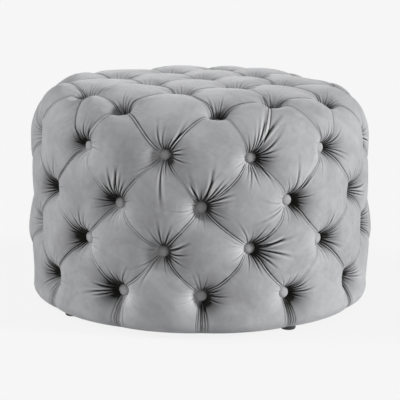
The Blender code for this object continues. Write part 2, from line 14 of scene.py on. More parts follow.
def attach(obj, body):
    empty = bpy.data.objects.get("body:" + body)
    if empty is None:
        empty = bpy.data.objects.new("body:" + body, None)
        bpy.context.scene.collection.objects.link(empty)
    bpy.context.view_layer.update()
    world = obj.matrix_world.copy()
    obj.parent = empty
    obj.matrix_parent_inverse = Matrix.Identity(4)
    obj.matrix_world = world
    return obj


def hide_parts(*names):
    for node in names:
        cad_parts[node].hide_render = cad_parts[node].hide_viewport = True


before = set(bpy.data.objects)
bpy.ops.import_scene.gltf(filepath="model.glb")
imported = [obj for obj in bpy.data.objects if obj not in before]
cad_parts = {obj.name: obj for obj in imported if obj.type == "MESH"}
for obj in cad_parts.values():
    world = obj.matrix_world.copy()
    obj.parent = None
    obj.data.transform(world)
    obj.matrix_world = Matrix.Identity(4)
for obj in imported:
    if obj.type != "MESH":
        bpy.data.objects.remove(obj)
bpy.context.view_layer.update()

# Base ring and top board
# Two birch plywood boards, sawn round and left unfinished. The ring carries the feet and the hem
# of the cover, the board carries the top pad and the twine of its buttons.


def new_material(name, roughness, uniform=None):
    """Principled material; uniform holds further sockets that are the same all over it."""
    made = bpy.data.materials.new(name)
    made.use_nodes = True
    shader = made.node_tree.nodes["Principled BSDF"]
    for socket, value in {"Roughness": roughness, **(uniform or {})}.items():
        shader.inputs[socket].default_value = value
    return made, made.node_tree, shader


def node(tree, kind, inputs=None, **settings):
    """Adds a node, links or sets its inputs and returns it."""
    added = tree.nodes.new(kind)
    for name, value in settings.items():
        setattr(added, name, value)
    for key, value in (inputs or {}).items():
        if isinstance(value, bpy.types.NodeSocket):
            tree.links.new(value, added.inputs[key])
        else:
            added.inputs[key].default_value = value
    return added


def maths(tree, operation, first, second=0.0, third=0.0, clamp=False):
    return node(tree, "ShaderNodeMath", {0: first, 1: second, 2: third}, operation=operation,
                use_clamp=clamp).outputs[0]


def mixed(tree, share, first, second):
    """Colour between two sockets or colours."""
    return node(tree, "ShaderNodeMix", {0: share, 6: first, 7: second}, data_type="RGBA").outputs[2]


def ranged(tree, value, low, high, start=0.0, end=1.0):
    """Value that goes from low to high while the given one goes from start to end."""
    limits = {"From Min": start, "From Max": end, "To Min": low, "To Max": high}
    return node(tree, "ShaderNodeMapRange", {"Value": value, **limits}).outputs[0]


def own_place(tree):
    return node(tree, "ShaderNodeTexCoord").outputs["Object"]


def noise(tree, place, scale, detail, roughness=0.5, distortion=0.0):
    return node(tree, "ShaderNodeTexNoise", {"Vector": place, "Scale": scale, "Detail": detail,
                                             "Roughness": roughness, "Distortion": distortion}).outputs["Fac"]


def bumped(tree, shader, height, distance):
    """Feeds a height from 0 to 1, which is a distance in metres, to the shader."""
    bump = node(tree, "ShaderNodeBump", {"Height": height, "Distance": distance})
    tree.links.new(bump.outputs["Normal"], shader.inputs["Normal"])


def finish_group(name, inputs):
    """Group that puts out a finish: its colour, height and roughness. Inputs are (name, kind, value)."""
    group = bpy.data.node_groups.new(name, "ShaderNodeTree")
    for label, kind, value in inputs:
        socket = group.interface.new_socket(label, in_out="INPUT", socket_type="NodeSocket" + kind)
        socket.default_value = value
    for label, kind in (("Color", "Color"), ("Height", "Float"), ("Roughness", "Float")):
        group.interface.new_socket(label, in_out="OUTPUT", socket_type="NodeSocket" + kind)
    return group, group.nodes.new("NodeGroupInput").outputs, group.nodes.new("NodeGroupOutput").inputs


def put_out(tree, result, color, height, roughness):
    for label, value in (("Color", color), ("Height", height), ("Roughness", roughness)):
        tree.links.new(value, result[label])


def finished(made, group, distance, inputs=None):
    """Gives a new material the finish of a group, with a bump of this distance."""
    material, tree, shader = made
    look = node(tree, "ShaderNodeGroup", inputs, node_tree=group)
    tree.links.new(look.outputs["Color"], shader.inputs["Base Color"])
    tree.links.new(look.outputs["Roughness"], shader.inputs["Roughness"])
    bumped(tree, shader, look.outputs["Height"], distance)
    return material


grain, given, result = finish_group("wood grain", (
    ("Early Wood", "Color", (0.66, 0.50, 0.32, 1.0)), ("Late Wood", "Color", (0.47, 0.32, 0.18, 1.0)),
    ("Stretch", "Vector", (40.0, 40.0, 3.0))))
along = node(grain, "ShaderNodeVectorMath", {0: own_place(grain), 1: given["Stretch"]}, operation="MULTIPLY")
bands = noise(grain, along.outputs[0], 1.0, 3.0, distortion=0.6)
fibres = noise(grain, along.outputs[0], 9.0, 5.0)
share = ranged(grain, maths(grain, "MULTIPLY", bands, fibres), 0.0, 1.0, 0.12, 0.42)
put_out(grain, result, mixed(grain, share, given["Late Wood"], given["Early Wood"]), fibres,
        ranged(grain, fibres, 0.62, 0.85))


def wooden(name, early, late, stretch):
    return finished(new_material(name, 0.75), grain, 0.0003,
                    {"Early Wood": (*early, 1.0), "Late Wood": (*late, 1.0), "Stretch": stretch})


def dress(node_name, material):
    """Gives a CAD node that stays its finished material."""
    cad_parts[node_name].material_slots[0].material = material


birch = wooden("birch plywood", (0.66, 0.50, 0.32), (0.50, 0.35, 0.20), (3.0, 30.0, 900.0))
dress("base_ring", birch)
dress("top_board", birch)

# Uprights
# Six planed pine posts with upright fibres, screwed to the ring below and the board above. The side
# panel is bent round them.
pine = wooden("planed pine", (0.76, 0.60, 0.39), (0.58, 0.40, 0.22), (60.0, 60.0, 3.0))
for number in range(1, 7):
    dress("upright_%d" % number, pine)

# Side panel
# One sheet of bending plywood, 4 mm thick, wrapped round the uprights and stapled, its ends meeting
# on one of them. The twine of the side buttons goes through it.
PANEL_INNER = 0.2923
PANEL_THICKNESS = 0.004
PANEL_BOTTOM = 0.0304
PANEL_TOP = 0.391
PANEL_JOINT = math.radians(187.5)
PANEL_JOINT_GAP = 0.0015
PANEL_STEPS = 180


def placed_object(name, data):
    made = bpy.data.objects.new(name, data)
    bpy.context.scene.collection.objects.link(made)
    return made


def mesh_object(name, points, faces, material, smooth=True):
    """Object of points and faces, at the origin, with one material."""
    data = bpy.data.meshes.new(name)
    data.from_pydata([tuple(point) for point in points], [], [tuple(int(v) for v in face) for face in faces])
    data.validate()
    data.update()
    if smooth:
        data.shade_smooth()
    data.materials.append(material)
    return placed_object(name, data)


def facing_out(piece):
    """Merges doubles and turns the faces outwards."""
    work = bmesh.new()
    work.from_mesh(piece.data)
    bmesh.ops.remove_doubles(work, verts=work.verts, dist=1e-6)
    bmesh.ops.recalc_face_normals(work, faces=work.faces)
    work.to_mesh(piece.data)
    work.free()


def direction(angle):
    return Vector((math.sin(angle), -math.cos(angle), 0.0))


corners = []
half_gap = 0.5 * PANEL_JOINT_GAP / PANEL_INNER
for step in range(PANEL_STEPS + 1):
    turn = PANEL_JOINT + half_gap + (2.0 * math.pi - 2.0 * half_gap) * step / PANEL_STEPS
    for radius, height in ((PANEL_INNER, PANEL_BOTTOM), (PANEL_INNER + PANEL_THICKNESS, PANEL_BOTTOM),
                           (PANEL_INNER + PANEL_THICKNESS, PANEL_TOP), (PANEL_INNER, PANEL_TOP)):
        corners.append(direction(turn) * radius + Vector((0.0, 0.0, height)))
walls = [(4 * s + k, 4 * s + (k + 1) % 4, 4 * s + 4 + (k + 1) % 4, 4 * s + 4 + k)
         for s in range(PANEL_STEPS) for k in range(4)]
walls += [(0, 1, 2, 3), tuple(4 * PANEL_STEPS + k for k in (3, 2, 1, 0))]
bending_ply = wooden("bending plywood", (0.70, 0.55, 0.37), (0.56, 0.41, 0.25), (14.0, 14.0, 2.0))
panel = mesh_object("side_panel_sheet", corners, walls, bending_ply, smooth=False)
facing_out(panel)
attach(panel, "root")
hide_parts("side_panel")

# Foam
# Open-cell upholstery foam: a wrap round the side and a pad on the top board, cut and glued, pressed
# in where the twine draws the buttons down.
OUTER_RADIUS = 0.350
OVERALL_HEIGHT = 0.4636  # lower than the CAD: the top is nearly flat
BODY_BOTTOM = 0.010
SHOULDER_RADIUS = 0.105
DOME_RADIUS = 3.000
EDGE_RADIUS = 0.025
HEM_WIDTH = 0.055
COLUMNS = 24
ROW_HEIGHTS = (0.355, 0.2566, 0.1716, 0.081)
RING_R = 0.290
RING_Z = 0.4428
RING_CORNER_R = 0.263  # the four of the ring that go on with the rows of the top
TOP_PITCH = 0.127
SHOULDER_R = OUTER_RADIUS - SHOULDER_RADIUS
DOME_Z = OVERALL_HEIGHT - DOME_RADIUS
SHOULDER_Z = DOME_Z + math.sqrt((DOME_RADIUS - SHOULDER_RADIUS) ** 2 - SHOULDER_R ** 2)
EDGE_R = OUTER_RADIUS - EDGE_RADIUS
EDGE_Z = BODY_BOTTOM + EDGE_RADIUS
COLUMN_STEP = 2.0 * math.pi / COLUMNS
QUARTER = COLUMNS // 4
SIDE_SEAT = 0.033  # how deep the cloth lies under a button
TOP_SEAT = 0.040
FUNNEL_START = 0.0095  # the cloth rises from a button's seat at this radius
FUNNEL_REACH = 0.0145
# Hand tying leaves the buttons a little off their grid: (round, up) in millimetres, by row and column,
# and (to the right, to the back) on the top
OFF_GRID = {
    (1, 22): (7, 5), (1, 0): (7, 1.3), (1, 2): (0.9, -6.1), (1, 4): (-7, 1.5), (2, 21): (-7, 1),
    (2, 23): (-2, -2.7), (2, 1): (-8.9, -1.3), (2, 3): (-4.4, 4.4), (2, 5): (6, -1), (3, 22): (7, 4),
    (3, 0): (3.7, -4.5), (3, 2): (1.4, 1.6), (3, 4): (-7, 2.6), (4, 21): (-3, 1.3), (4, 23): (6.4, 2.3),
    (4, 1): (-7.5, 1.9), (4, 3): (-7.3, -2.1), (4, 5): (-3, 0), (0, 23): (-23, 0), (0, 1): (27, 0),
    (0, 3): (-2, 0), (0, 5): (-10, 0), (0, 21): (-10, 0), (0, 19): (-12, 0), (9, 2): (-15, 0),
}


def envelope(points):
    """Nearest points of the smooth form over the crowns, and the outward normals there."""
    radius = np.hypot(points[:, 0], points[:, 1])
    out = points[:, :2] / np.maximum(radius, 1e-9)[:, None]
    height = points[:, 2]
    under = (height < EDGE_Z) & (radius <= EDGE_R)
    wall = (height >= EDGE_Z) & (height < SHOULDER_Z)
    edge = (height < EDGE_Z) & ~under
    dome = ~under & ~wall & ~edge & (radius * (SHOULDER_Z - DOME_Z) < SHOULDER_R * (height - DOME_Z))
    centre_r = np.where(edge, EDGE_R, np.where(dome, 0.0, SHOULDER_R))
    centre_z = np.where(edge, EDGE_Z, np.where(dome, DOME_Z, SHOULDER_Z))
    size = np.where(edge, EDGE_RADIUS, np.where(dome, DOME_RADIUS, SHOULDER_RADIUS))
    ray_r, ray_z = radius - centre_r, height - centre_z
    length = np.maximum(np.hypot(ray_r, ray_z), 1e-9)
    ray_r, ray_z = ray_r / length, ray_z / length
    place_r, place_z = centre_r + ray_r * size, centre_z + ray_z * size
    ray_r, ray_z = np.where(under, 0.0, ray_r), np.where(under, -1.0, ray_z)
    place_r, place_z = np.where(under, radius, place_r), np.where(under, BODY_BOTTOM, place_z)
    ray_r, ray_z = np.where(wall, 1.0, ray_r), np.where(wall, 0.0, ray_z)
    place_r, place_z = np.where(wall, OUTER_RADIUS, place_r), np.where(wall, height, place_z)
    place = np.column_stack((out * place_r[:, None], place_z))
    normal = np.column_stack((out * ray_r[:, None], ray_z))
    return place, normal


def on_envelope(point):
    return envelope(np.array([point], dtype=float))[0][0]


def button_place(name):
    """Crown point over a button: row 9 is the top, row 0 the ring on the shoulder, 1 to 4 the side."""
    row, column = name
    if row == 9:
        number, corner = divmod(column - 1, 2)
        turn = (number + 0.5) * 0.5 * math.pi
        along, across = (0.0, 0.0) if column == 0 else (TOP_PITCH, corner * TOP_PITCH)
        right, back = OFF_GRID.get((row, column), (0.0, 0.0))
        return on_envelope((math.sin(turn) * along + math.cos(turn) * across + 0.001 * right,
                            -math.cos(turn) * along + math.sin(turn) * across + 0.001 * back, OVERALL_HEIGHT))
    chance = np.random.default_rng(40 * row + column)
    shift, lift = OFF_GRID.get((row, column), chance.uniform(-3.0, 3.0, 2))
    turn = column * COLUMN_STEP + 0.001 * shift / OUTER_RADIUS
    radius, height = (RING_R, RING_Z) if row == 0 else (OUTER_RADIUS, ROW_HEIGHTS[row - 1])
    if row == 0 and column % QUARTER == QUARTER // 2:
        radius, height = RING_CORNER_R, OVERALL_HEIGHT
    return on_envelope((math.sin(turn) * radius, -math.cos(turn) * radius, height + 0.001 * lift))


def side_name(row, column):
    return row, column % COLUMNS


def top_name(i, j, quarter):
    """Name of a button of the top; i and j count along two sides of one quarter of it."""
    if i == 2:
        return side_name(0, quarter * QUARTER + QUARTER // 2 + 2 * j)
    if j == 2:
        return side_name(0, quarter * QUARTER + 3 * QUARTER // 2 - 2 * i)
    if i == 0:
        return top_name(1, 0, quarter + 1) if j else (9, 0)
    return 9, 1 + 2 * (quarter % 4) + j


def seat_depths(names):
    return np.array([SIDE_SEAT if 0 < row < 9 else TOP_SEAT for row, column in names])


top_names = [(9, number) for number in range(9)]
ring_names = [(0, column) for column in range(1, COLUMNS, 2)]
side_names = [(row, column) for row in (1, 2, 3, 4) for column in range((row + 1) % 2, COLUMNS, 2)]
button_names = top_names + ring_names + side_names
button_at = {name: button_place(name) for name in button_names}
button_places = np.array([button_at[name] for name in button_names])
button_seats = seat_depths(button_names)


def near_buttons(points):
    """Distance to the nearest button, its number, and the way to the point from it."""
    nearest, number, way = np.full(len(points), 9.0), np.zeros(len(points), int), np.zeros((len(points), 3))
    for k, place in enumerate(button_places):
        offset = points - place
        distance = np.linalg.norm(offset, axis=1)
        closer = distance < nearest
        nearest[closer], number[closer], way[closer] = distance[closer], k, offset[closer]
    return nearest, number, way / np.maximum(nearest, 1e-6)[:, None]


def dots(one, other):
    return np.einsum("ij,ij->i", one, other)


def funnel(nearest, reach):
    """How much of a button's depth is left at a distance from it."""
    return np.exp(-(np.maximum(nearest - FUNNEL_START, 0.0) / reach) ** 1.2)


FOAM_GAP = 0.0125  # cloth and wadding over the foam, under the smooth form
FOAM_NEAR = 0.042  # nearer than this to a button the foam's edges are made short
FOAM_EDGE = 0.008  # longer ones are halved, up to three times
FOAM_MARGIN = 0.006  # its pits are this much wider than those of the cover
FOAM_DEEPEST = 0.06
FOAM_BOTTOM = 0.05  # it isn't pressed in below this height


def mottled(name, roughness, scale, detail, one, other, distance, rough=None, relief=None, uniform=None):
    """Material whose colour wanders between two, with a bump of the same noise.

    rough is a range of roughness that goes with the wandering; relief gives another height for the
    bump, from the tree, the place and the noise.
    """
    material, tree, shader = new_material(name, roughness, uniform)
    place = own_place(tree)
    wander = noise(tree, place, scale, detail)
    tree.links.new(mixed(tree, wander, (*one, 1.0), (*other, 1.0)), shader.inputs["Base Color"])
    if rough:
        tree.links.new(ranged(tree, wander, *rough), shader.inputs["Roughness"])
    bumped(tree, shader, relief(tree, place, wander) if relief else wander, distance)
    return material


def cells(tree, place, scale):
    return node(tree, "ShaderNodeTexVoronoi", {"Vector": place, "Scale": scale}).outputs["Distance"]


foam = mottled("cut foam", 0.95, 12.0, 3.0, (0.88, 0.84, 0.66), (0.80, 0.74, 0.54), 0.0006,
               relief=lambda tree, place, wander: cells(tree, place, 650.0))
for name in ("side_foam", "top_foam"):
    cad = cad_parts[name]
    piece = placed_object(name + "_padding", cad.data.copy())
    piece.data.materials.clear()
    piece.data.materials.append(foam)
    facing_out(piece)
    work = bmesh.new()
    work.from_mesh(piece.data)
    bmesh.ops.triangulate(work, faces=work.faces)
    for halving in range(3):
        middles = np.array([0.5 * (edge.verts[0].co + edge.verts[1].co) for edge in work.edges])
        close = near_buttons(envelope(middles)[0])[0] < FOAM_NEAR
        bmesh.ops.subdivide_edges(work, edges=[edge for edge, near in zip(work.edges[:], close)
                                               if near and edge.calc_length() > FOAM_EDGE], cuts=1)
        bmesh.ops.triangulate(work, faces=[face for face in work.faces if len(face.verts) > 3])
    places = np.array([vertex.co for vertex in work.verts])
    crown, normal = envelope(places)
    nearest, button = near_buttons(crown)[:2]
    wanted = button_seats[button] * funnel(nearest - FOAM_MARGIN, FUNNEL_REACH) + FOAM_GAP
    lack = np.clip(wanted - dots(crown - places, normal), 0.0, FOAM_DEEPEST)
    lack[places[:, 2] < FOAM_BOTTOM] = 0.0
    for vertex, moved in zip(work.verts, places - normal * lack[:, None]):
        vertex.co = moved
    work.to_mesh(piece.data)
    work.free()
    piece.data.shade_smooth()
    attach(piece, "root")
    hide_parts(name)

# Cover
# Mid-grey velvet over wadding and foam, deep buttoned: a top piece and three side pieces, sewn where
# the pleats hide the seams, drawn down by the buttons' twine and turned under the base.
PATCH_HALF_STEPS = 55  # cells from a pleat to the middle of a pillow
PATCH_STEPS = 2 * PATCH_HALF_STEPS
VALLEY_DEPTH = 0.0075  # broad dip of the pillows at a pleat
TOP_VALLEY_DEPTH = 0.0088  # the same on the top, whose pillows are fuller
ROUNDNESS = 0.75  # how steeply a pillow rises from its pleats; lower is fuller
CREASE_DEPTH = 0.0030  # the two sharp folds of a pleat, on each side of its middle
CREASE_WIDTH = 0.0009
CREASE_SPREAD = 0.0022
PILLOW_SIDE = 0.128
PILLOW_HALF = 0.064
SHOULDER_HALVES = (0.045, 0.045, 0.040)  # half widths from each pleat of a triangle at the shoulder
RIDGE_WIDTH = 0.0011  # of the ridge between the two folds of a pleat
THIRD_FOLD = 0.0042  # how far out a third fold starts near a button
HEM_DRAWN = 0.8
TOP_FUNNEL_SHARE = 0.82  # width of the pits of the top, as a share of the others
UNEVEN = 0.0010  # wandering of the whole surface
SAG = 0.0025  # how far a pillow hangs down
WRINKLE_SPAN = 0.115  # no wrinkle goes further from its button
WRINKLE_FADE = 0.92  # share of its reach at which most of its depth is gone
SHADED_FOLD = 0.0013  # a fold this deep is painted all dark, as shade
HIGHLIGHT_STREAKS = 23.0  # streaks of painted highlight in the pile all round a button
# How hard each pleat in front is drawn, by the row and column of its upper and lower button
DRAWN = {
    (0, 21, 1, 22): 0.8, (0, 23, 1, 22): 0.5, (0, 23, 1, 0): 0.9, (0, 1, 1, 0): 0.9, (0, 1, 1, 2): 0.35,
    (0, 3, 1, 2): 1, (0, 3, 1, 4): 0.3, (0, 5, 1, 4): 0.6, (1, 22, 2, 21): 0.8, (1, 22, 2, 23): 0.2,
    (1, 0, 2, 23): 0.45, (1, 0, 2, 1): 0.15, (1, 2, 2, 1): 1, (1, 2, 2, 3): 0.3, (1, 4, 2, 3): 0.6,
    (1, 4, 2, 5): 0.5, (2, 21, 3, 22): 0.4, (2, 23, 3, 22): 0.8, (2, 23, 3, 0): 0.5, (2, 1, 3, 0): 0.9,
    (2, 1, 3, 2): 1, (2, 3, 3, 2): 0.6, (2, 3, 3, 4): 0.55, (2, 5, 3, 4): 0.5, (3, 22, 4, 21): 0.8,
    (3, 22, 4, 23): 0.5, (3, 0, 4, 23): 0.7, (3, 0, 4, 1): 0.9, (3, 2, 4, 1): 0.9, (3, 2, 4, 3): 0.8,
    (3, 4, 4, 3): 0.3, (3, 4, 4, 5): 0.8,
}
# The side of the pit round a button that is painted dark, as shade: degrees from the right, and strength
SHADED_PIT_SIDES = {
    (1, 22): (100, 1.1), (1, 0): (8, 1.2), (1, 2): (30, 0.8), (1, 4): (20, 0.5), (2, 21): (130, 1.1),
    (2, 23): (95, 1.4), (2, 1): (42, 0.9), (2, 3): (5, 0.8), (2, 5): (20, 0.4), (3, 22): (150, 1.2),
    (3, 0): (20, 1.3), (3, 2): (0, 1.0), (3, 4): (15, 0.6), (4, 21): (135, 1.1), (4, 23): (150, 1.6),
    (4, 1): (0, 1.1), (4, 3): (-10, 0.8), (4, 5): (0, 0.5),
}
# Where the stuffing is fuller or flatter: angle, height, outwards in mm, size in mm
STUFFING = (
    (-66, 0.425, 11, 60), (-100, 0.440, 9, 75), (-70, 0.300, 4, 60), (-70, 0.145, 9, 50),
    (128, 0.450, -17, 50), (112, 0.425, 3, 40), (97, 0.370, -7, 50), (97, 0.145, 10, 50), (0, 0.470, 5, 60),
    (45, 0.470, 5, 60), (-35, 0.470, 5, 60), (180, 0.470, 2, 80), (145, 0.470, 5, 60), (215, 0.470, 4, 60),
)

# Size of the steps across a pillow: at its pleats, where the wrinkles grow weak, in its middle
inward = np.linspace(0.0, PILLOW_HALF, 1000)
cell = np.interp(inward, (0.0, 0.025, PILLOW_HALF), (0.0005, 0.0011, 0.0026))
count = np.concatenate(((0.0,), np.cumsum(1.0 / cell)[:-1]))
half_spread = np.interp(np.linspace(0.0, count[-1], PATCH_HALF_STEPS + 1), count, inward) / PILLOW_SIDE
spread = np.concatenate((half_spread, 1.0 - half_spread[-2::-1]))


class Patches:
    """The pillows of one piece of the cover, with what is known at each of their points.

    crown: 0 in the pleats to 1 on the crown of the pillow; drawn: how hard the nearest pleat is drawn;
    fold: its sharp folds, in metres outwards; hold: how much of the tufting is left; bow: where the
    point moves because the pleats are bent.
    """
    KINDS = ("points", "crown", "drawn", "fold", "hold", "bow")

    def __init__(self):
        self.faces = []
        self.values = {kind: [] for kind in self.KINDS}
        self.count = 0

    def add(self, faces, **values):
        self.faces.append(faces + self.count)
        for kind in self.KINDS:
            self.values[kind].append(values[kind])
        self.count += len(values["points"])

    def all(self, kind):
        return np.concatenate(self.values[kind])


def ramp(value, start, length):
    """0 up to the start, 1 from a length beyond it."""
    return np.clip((value - start) / length, 0.0, 1.0)


def rise(distance, half):
    """0 in a pleat, 1 from half a pillow away."""
    near = ramp(distance, 0.0, half)
    return near * (2.0 - near)


def bell(offset, width):
    return np.exp(-(offset / width) ** 2)


def groove(distance, width):
    """Sharp fold: 1 at its bottom, with steep flanks."""
    return np.exp(-np.abs(distance) / width)


def pleat_traits(one, other):
    """How hard the pleat between two buttons is drawn, a seed for its folds, and its bow in metres."""
    upper, lower = min(one, other, key=lambda name: (name[0] % 9, name)), max(one, other)
    if one[0] == 9 or other[0] == 9:
        upper, lower = sorted((one, other))
    seed = 97 * (upper[0] * 30 + upper[1]) + lower[0] * 30 + lower[1]
    chance = np.random.default_rng(seed)
    drawn, bow = chance.uniform(0.3, 1.0), chance.uniform(-0.0045, 0.0045)
    return DRAWN.get(upper + lower, drawn), seed, bow


def pleat_fold(distance, along, drawn, seed, weaker):
    """Half of a pleat, on one pillow: a sharp fold beside the middle ridge, bowed between its buttons."""
    chance = np.random.default_rng(seed + 1)
    gap = CREASE_SPREAD * chance.uniform(0.7, 1.2)
    bow = np.sqrt(np.clip(4.0 * along * (1.0 - along), 0.0, 1.0))
    near_end = bell(np.minimum(along, 1.0 - along), 0.20)
    depth = CREASE_DEPTH * (drawn * (0.55 if weaker else 0.95) * (1.0 - near_end) + near_end)
    fold = -depth * groove(distance - gap * (0.5 + 0.5 * bow), CREASE_WIDTH)
    fold += 0.6 * depth * (0.3 + 0.7 * drawn) * bell(distance, RIDGE_WIDTH)
    third = gap * (0.5 + 0.5 * bow) + THIRD_FOLD + 0.004 * along
    return fold - 0.45 * depth * near_end * groove(distance - third, 1.3 * CREASE_WIDTH)


def grid_faces(rows, steps, keep="all"):
    """Faces of a grid of rows by steps cells, only those below its diagonal where keep is near."""
    i, j = (index.ravel() for index in np.meshgrid(np.arange(rows), np.arange(steps), indexing="ij"))
    a = i * (steps + 1) + j
    faces = np.column_stack((a, a + steps + 1, a + steps + 2, a + 1))
    if keep == "near":
        diagonal = i + j + 1 == steps
        faces[diagonal, 2] = faces[diagonal, 3]
        faces = faces[i + j + 1 <= steps]
    return faces


def pillow(piece, names, shape="four"):
    """Adds a pillow between its buttons at (0,0), (1,0), (1,1) and (0,1).

    The shape is four for a diamond, three for a triangle at the shoulder, hem for the upper part
    of a pillow over the hem; these two have no button at (1,1).
    """
    a, b = (grid.ravel() for grid in np.meshgrid(spread, spread, indexing="ij"))
    first, second, fourth = (button_at[names[k]] for k in (0, 1, -1))
    third = button_at[names[2]] if shape == "four" else second + fourth - first
    points = ((1 - a) * (1 - b))[:, None] * first + (a * (1 - b))[:, None] * second
    points += (a * b)[:, None] * third + ((1 - a) * b)[:, None] * fourth
    along_a, along_b = (second - first) / PILLOW_SIDE, (fourth - first) / PILLOW_SIDE
    # Each pleat: distance from it, place along it, its two buttons, the way across it
    pleats = [(a * PILLOW_SIDE, b, names[0], names[-1], along_a, 1.0),
              (b * PILLOW_SIDE, a, names[0], names[1], along_b, 1.0)]
    halves = [PILLOW_HALF] * 4
    if shape == "four":
        pleats += [(PILLOW_SIDE * (1.0 - a), b, names[1], names[2], along_a, 0.0),
                   (PILLOW_SIDE * (1.0 - b), a, names[3], names[2], along_b, 0.0)]
    elif shape == "three":
        pleats.append((np.clip(1.0 - a - b, 0.0, 1.0) * PILLOW_SIDE * 0.7, a, names[1], names[2],
                       along_a + along_b, 0.0))
        halves = SHOULDER_HALVES
    crown, fold, bow = np.ones(len(a)), np.zeros(len(a)), np.zeros((len(a), 3))
    weights, drawing = np.zeros(len(a)), np.zeros(len(a))
    for (distance, along, one, other, across, weaker), half in zip(pleats, halves):
        drawn, seed, bend = pleat_traits(one, other)
        crown *= rise(distance, half)
        fold += pleat_fold(distance, along, drawn, seed, weaker)
        near = 1.0 / (distance + 0.003) ** 2
        weights += near
        drawing += near * drawn
        fading = np.clip(1.0 - distance / PILLOW_HALF, 0.0, 1.0) ** 2
        if shape != "three":
            bow += (bend * np.sin(math.pi * along) ** 2 * fading)[:, None] * across
    if shape == "hem":
        share = 0.5 + 0.5 * (a - b)
        crown *= rise(share * HEM_SPAN, HEM_HALF) * rise((1.0 - share) * HEM_SPAN, HEM_HALF)
        bow *= ramp(1.0 - a - b, 0.0, 0.3)[:, None]
    faces = grid_faces(PATCH_STEPS, PATCH_STEPS, "all" if shape == "four" else "near")
    piece.add(faces, points=points, crown=crown, drawn=drawing / weights, fold=fold,
              hold=np.ones(len(points)), bow=bow)


HEM_SPAN = 0.183  # between two upright pleats
HEM_HALF = 0.075
HEM_WALL_ROWS = 30


def hem_pillow(piece, column):
    """Adds the pillow under a button of row 3: a point, then straight down to the hem and under it."""
    names = side_name(3, column), side_name(4, column + 1), side_name(4, column - 1)
    pillow(piece, names, "hem")
    tip, right, left = (button_at[name] for name in names)
    flat = left[None, :] * (1.0 - spread)[:, None] + right[None, :] * spread[:, None]
    place = envelope(flat)[0]
    out = place[:, :2] / np.hypot(place[:, 0], place[:, 1])[:, None]
    top, point_drop = place[:, 2], tip[2] - 0.5 * (left[2] + right[2])
    rows = [(OUTER_RADIUS, None, k / HEM_WALL_ROWS, 1.0 - 0.25 * (k / HEM_WALL_ROWS) ** 2)
            for k in range(HEM_WALL_ROWS + 1)]
    for turn in np.radians(np.arange(6, 91, 6)):
        rows.append((EDGE_R + EDGE_RADIUS * math.cos(turn), EDGE_Z - EDGE_RADIUS * math.sin(turn),
                     1.0, 0.75 * max(0.0, math.cos(turn))))
    rows += [(EDGE_R - HEM_WIDTH * k / 6.0, BODY_BOTTOM, 1.0, 0.0) for k in range(1, 7)]
    from_left, from_right = spread * HEM_SPAN, (1.0 - spread) * HEM_SPAN
    chance = np.random.default_rng(900 + column)
    tucks = [(side, offset * chance.uniform(0.8, 1.2), depth)
             for side in (from_left, from_right)
             for offset, depth in ((0.0022, 0.0030), (0.0068, 0.0020), (0.0120, 0.0014))]
    # Faces between a row and the one above it
    joining = grid_faces(1, PATCH_STEPS) - len(spread)
    for radius, height, down, left_over in rows:
        z = top + (EDGE_Z - top) * down if height is None else np.full(len(spread), height)
        drop = (top - z) / point_drop * 0.5
        crown = rise(from_left, HEM_HALF) * rise(from_right, HEM_HALF)
        for side in (spread, 1.0 - spread):
            crown *= rise((side + drop) * PILLOW_SIDE, PILLOW_HALF)
        fold = -sum(depth * groove(side - offset * (0.5 + 0.5 * down), 1.1 * CREASE_WIDTH)
                    for side, offset, depth in tucks)
        piece.add(joining if down else joining[:0], crown=crown, drawn=np.full(len(z), HEM_DRAWN), fold=fold,
                  points=np.column_stack((out * radius, z)) if down else flat,
                  hold=np.full(len(z), left_over), bow=np.zeros((len(z), 3)))


def smooth_noise(points, scale, seed, layers=3):
    """Soft wandering of a few waves, from -1 to 1; the same for the same seed."""
    chance = np.random.default_rng(seed)
    total = np.zeros(len(points))
    for layer in range(layers):
        for wave in range(6):
            way = chance.normal(size=3)
            way /= np.linalg.norm(way)
            total += np.sin(points @ way * scale * (1.7 ** layer) * 2.0 * math.pi
                            + chance.uniform(0.0, 6.28)) * 0.6 ** layer
    return total / 6.0


STRONG_DEPTH = 0.0014  # of a fold that is 1 deep in the table
# Strong folds that show from the front, by button: angle in degrees, reach in mm and depth
STRONG_FOLDS = {
    (1, 0): ((52, 62, 2.4), (60, 58, 1.8), (27, 36, 2.2), (7, 28, 2.0), (264, 82, 2.4), (272, 30, 1.6),
             (219, 55, 1.6), (305, 30, 1.4)),
    (1, 2): ((66, 85, 2.6), (73, 85, 2.4), (80, 60, 1.8), (33, 58, 2.2), (23, 42, 2.2), (4, 36, 1.8),
             (263, 46, 1.8), (274, 42, 2.0), (318, 48, 2.0)),
    (2, 1): ((67, 72, 2.8), (76, 60, 2.4), (56, 60, 2.6), (49, 66, 2.6), (36, 55, 2.4), (27, 44, 2.0),
             (106, 48, 2.0), (117, 58, 1.8), (190, 50, 1.0), (204, 44, 1.0)),
    (2, 3): ((78, 66, 2.4), (62, 60, 2.6), (50, 62, 2.4), (204, 62, 2.0), (182, 56, 1.0), (192, 50, 1.0)),
    (3, 2): ((22, 66, 2.4), (12, 56, 2.2), (0, 66, 2.2), (332, 48, 2.2), (36, 44, 2.0), (156, 44, 1.4)),
    (3, 0): ((22, 50, 2.2), (358, 44, 1.8), (340, 40, 1.8), (216, 50, 2.0), (232, 60, 2.0)),
    (2, 23): ((88, 62, 2.4), (98, 56, 2.4), (76, 58, 2.6), (112, 44, 2.0), (64, 44, 2.2)),
    (4, 23): ((176, 60, 2.2), (190, 50, 2.0), (160, 44, 2.0)),
    (4, 3): ((8, 44, 2.2), (30, 40, 2.0)),
    (4, 1): ((10, 40, 2.0), (28, 36, 1.8)),
}


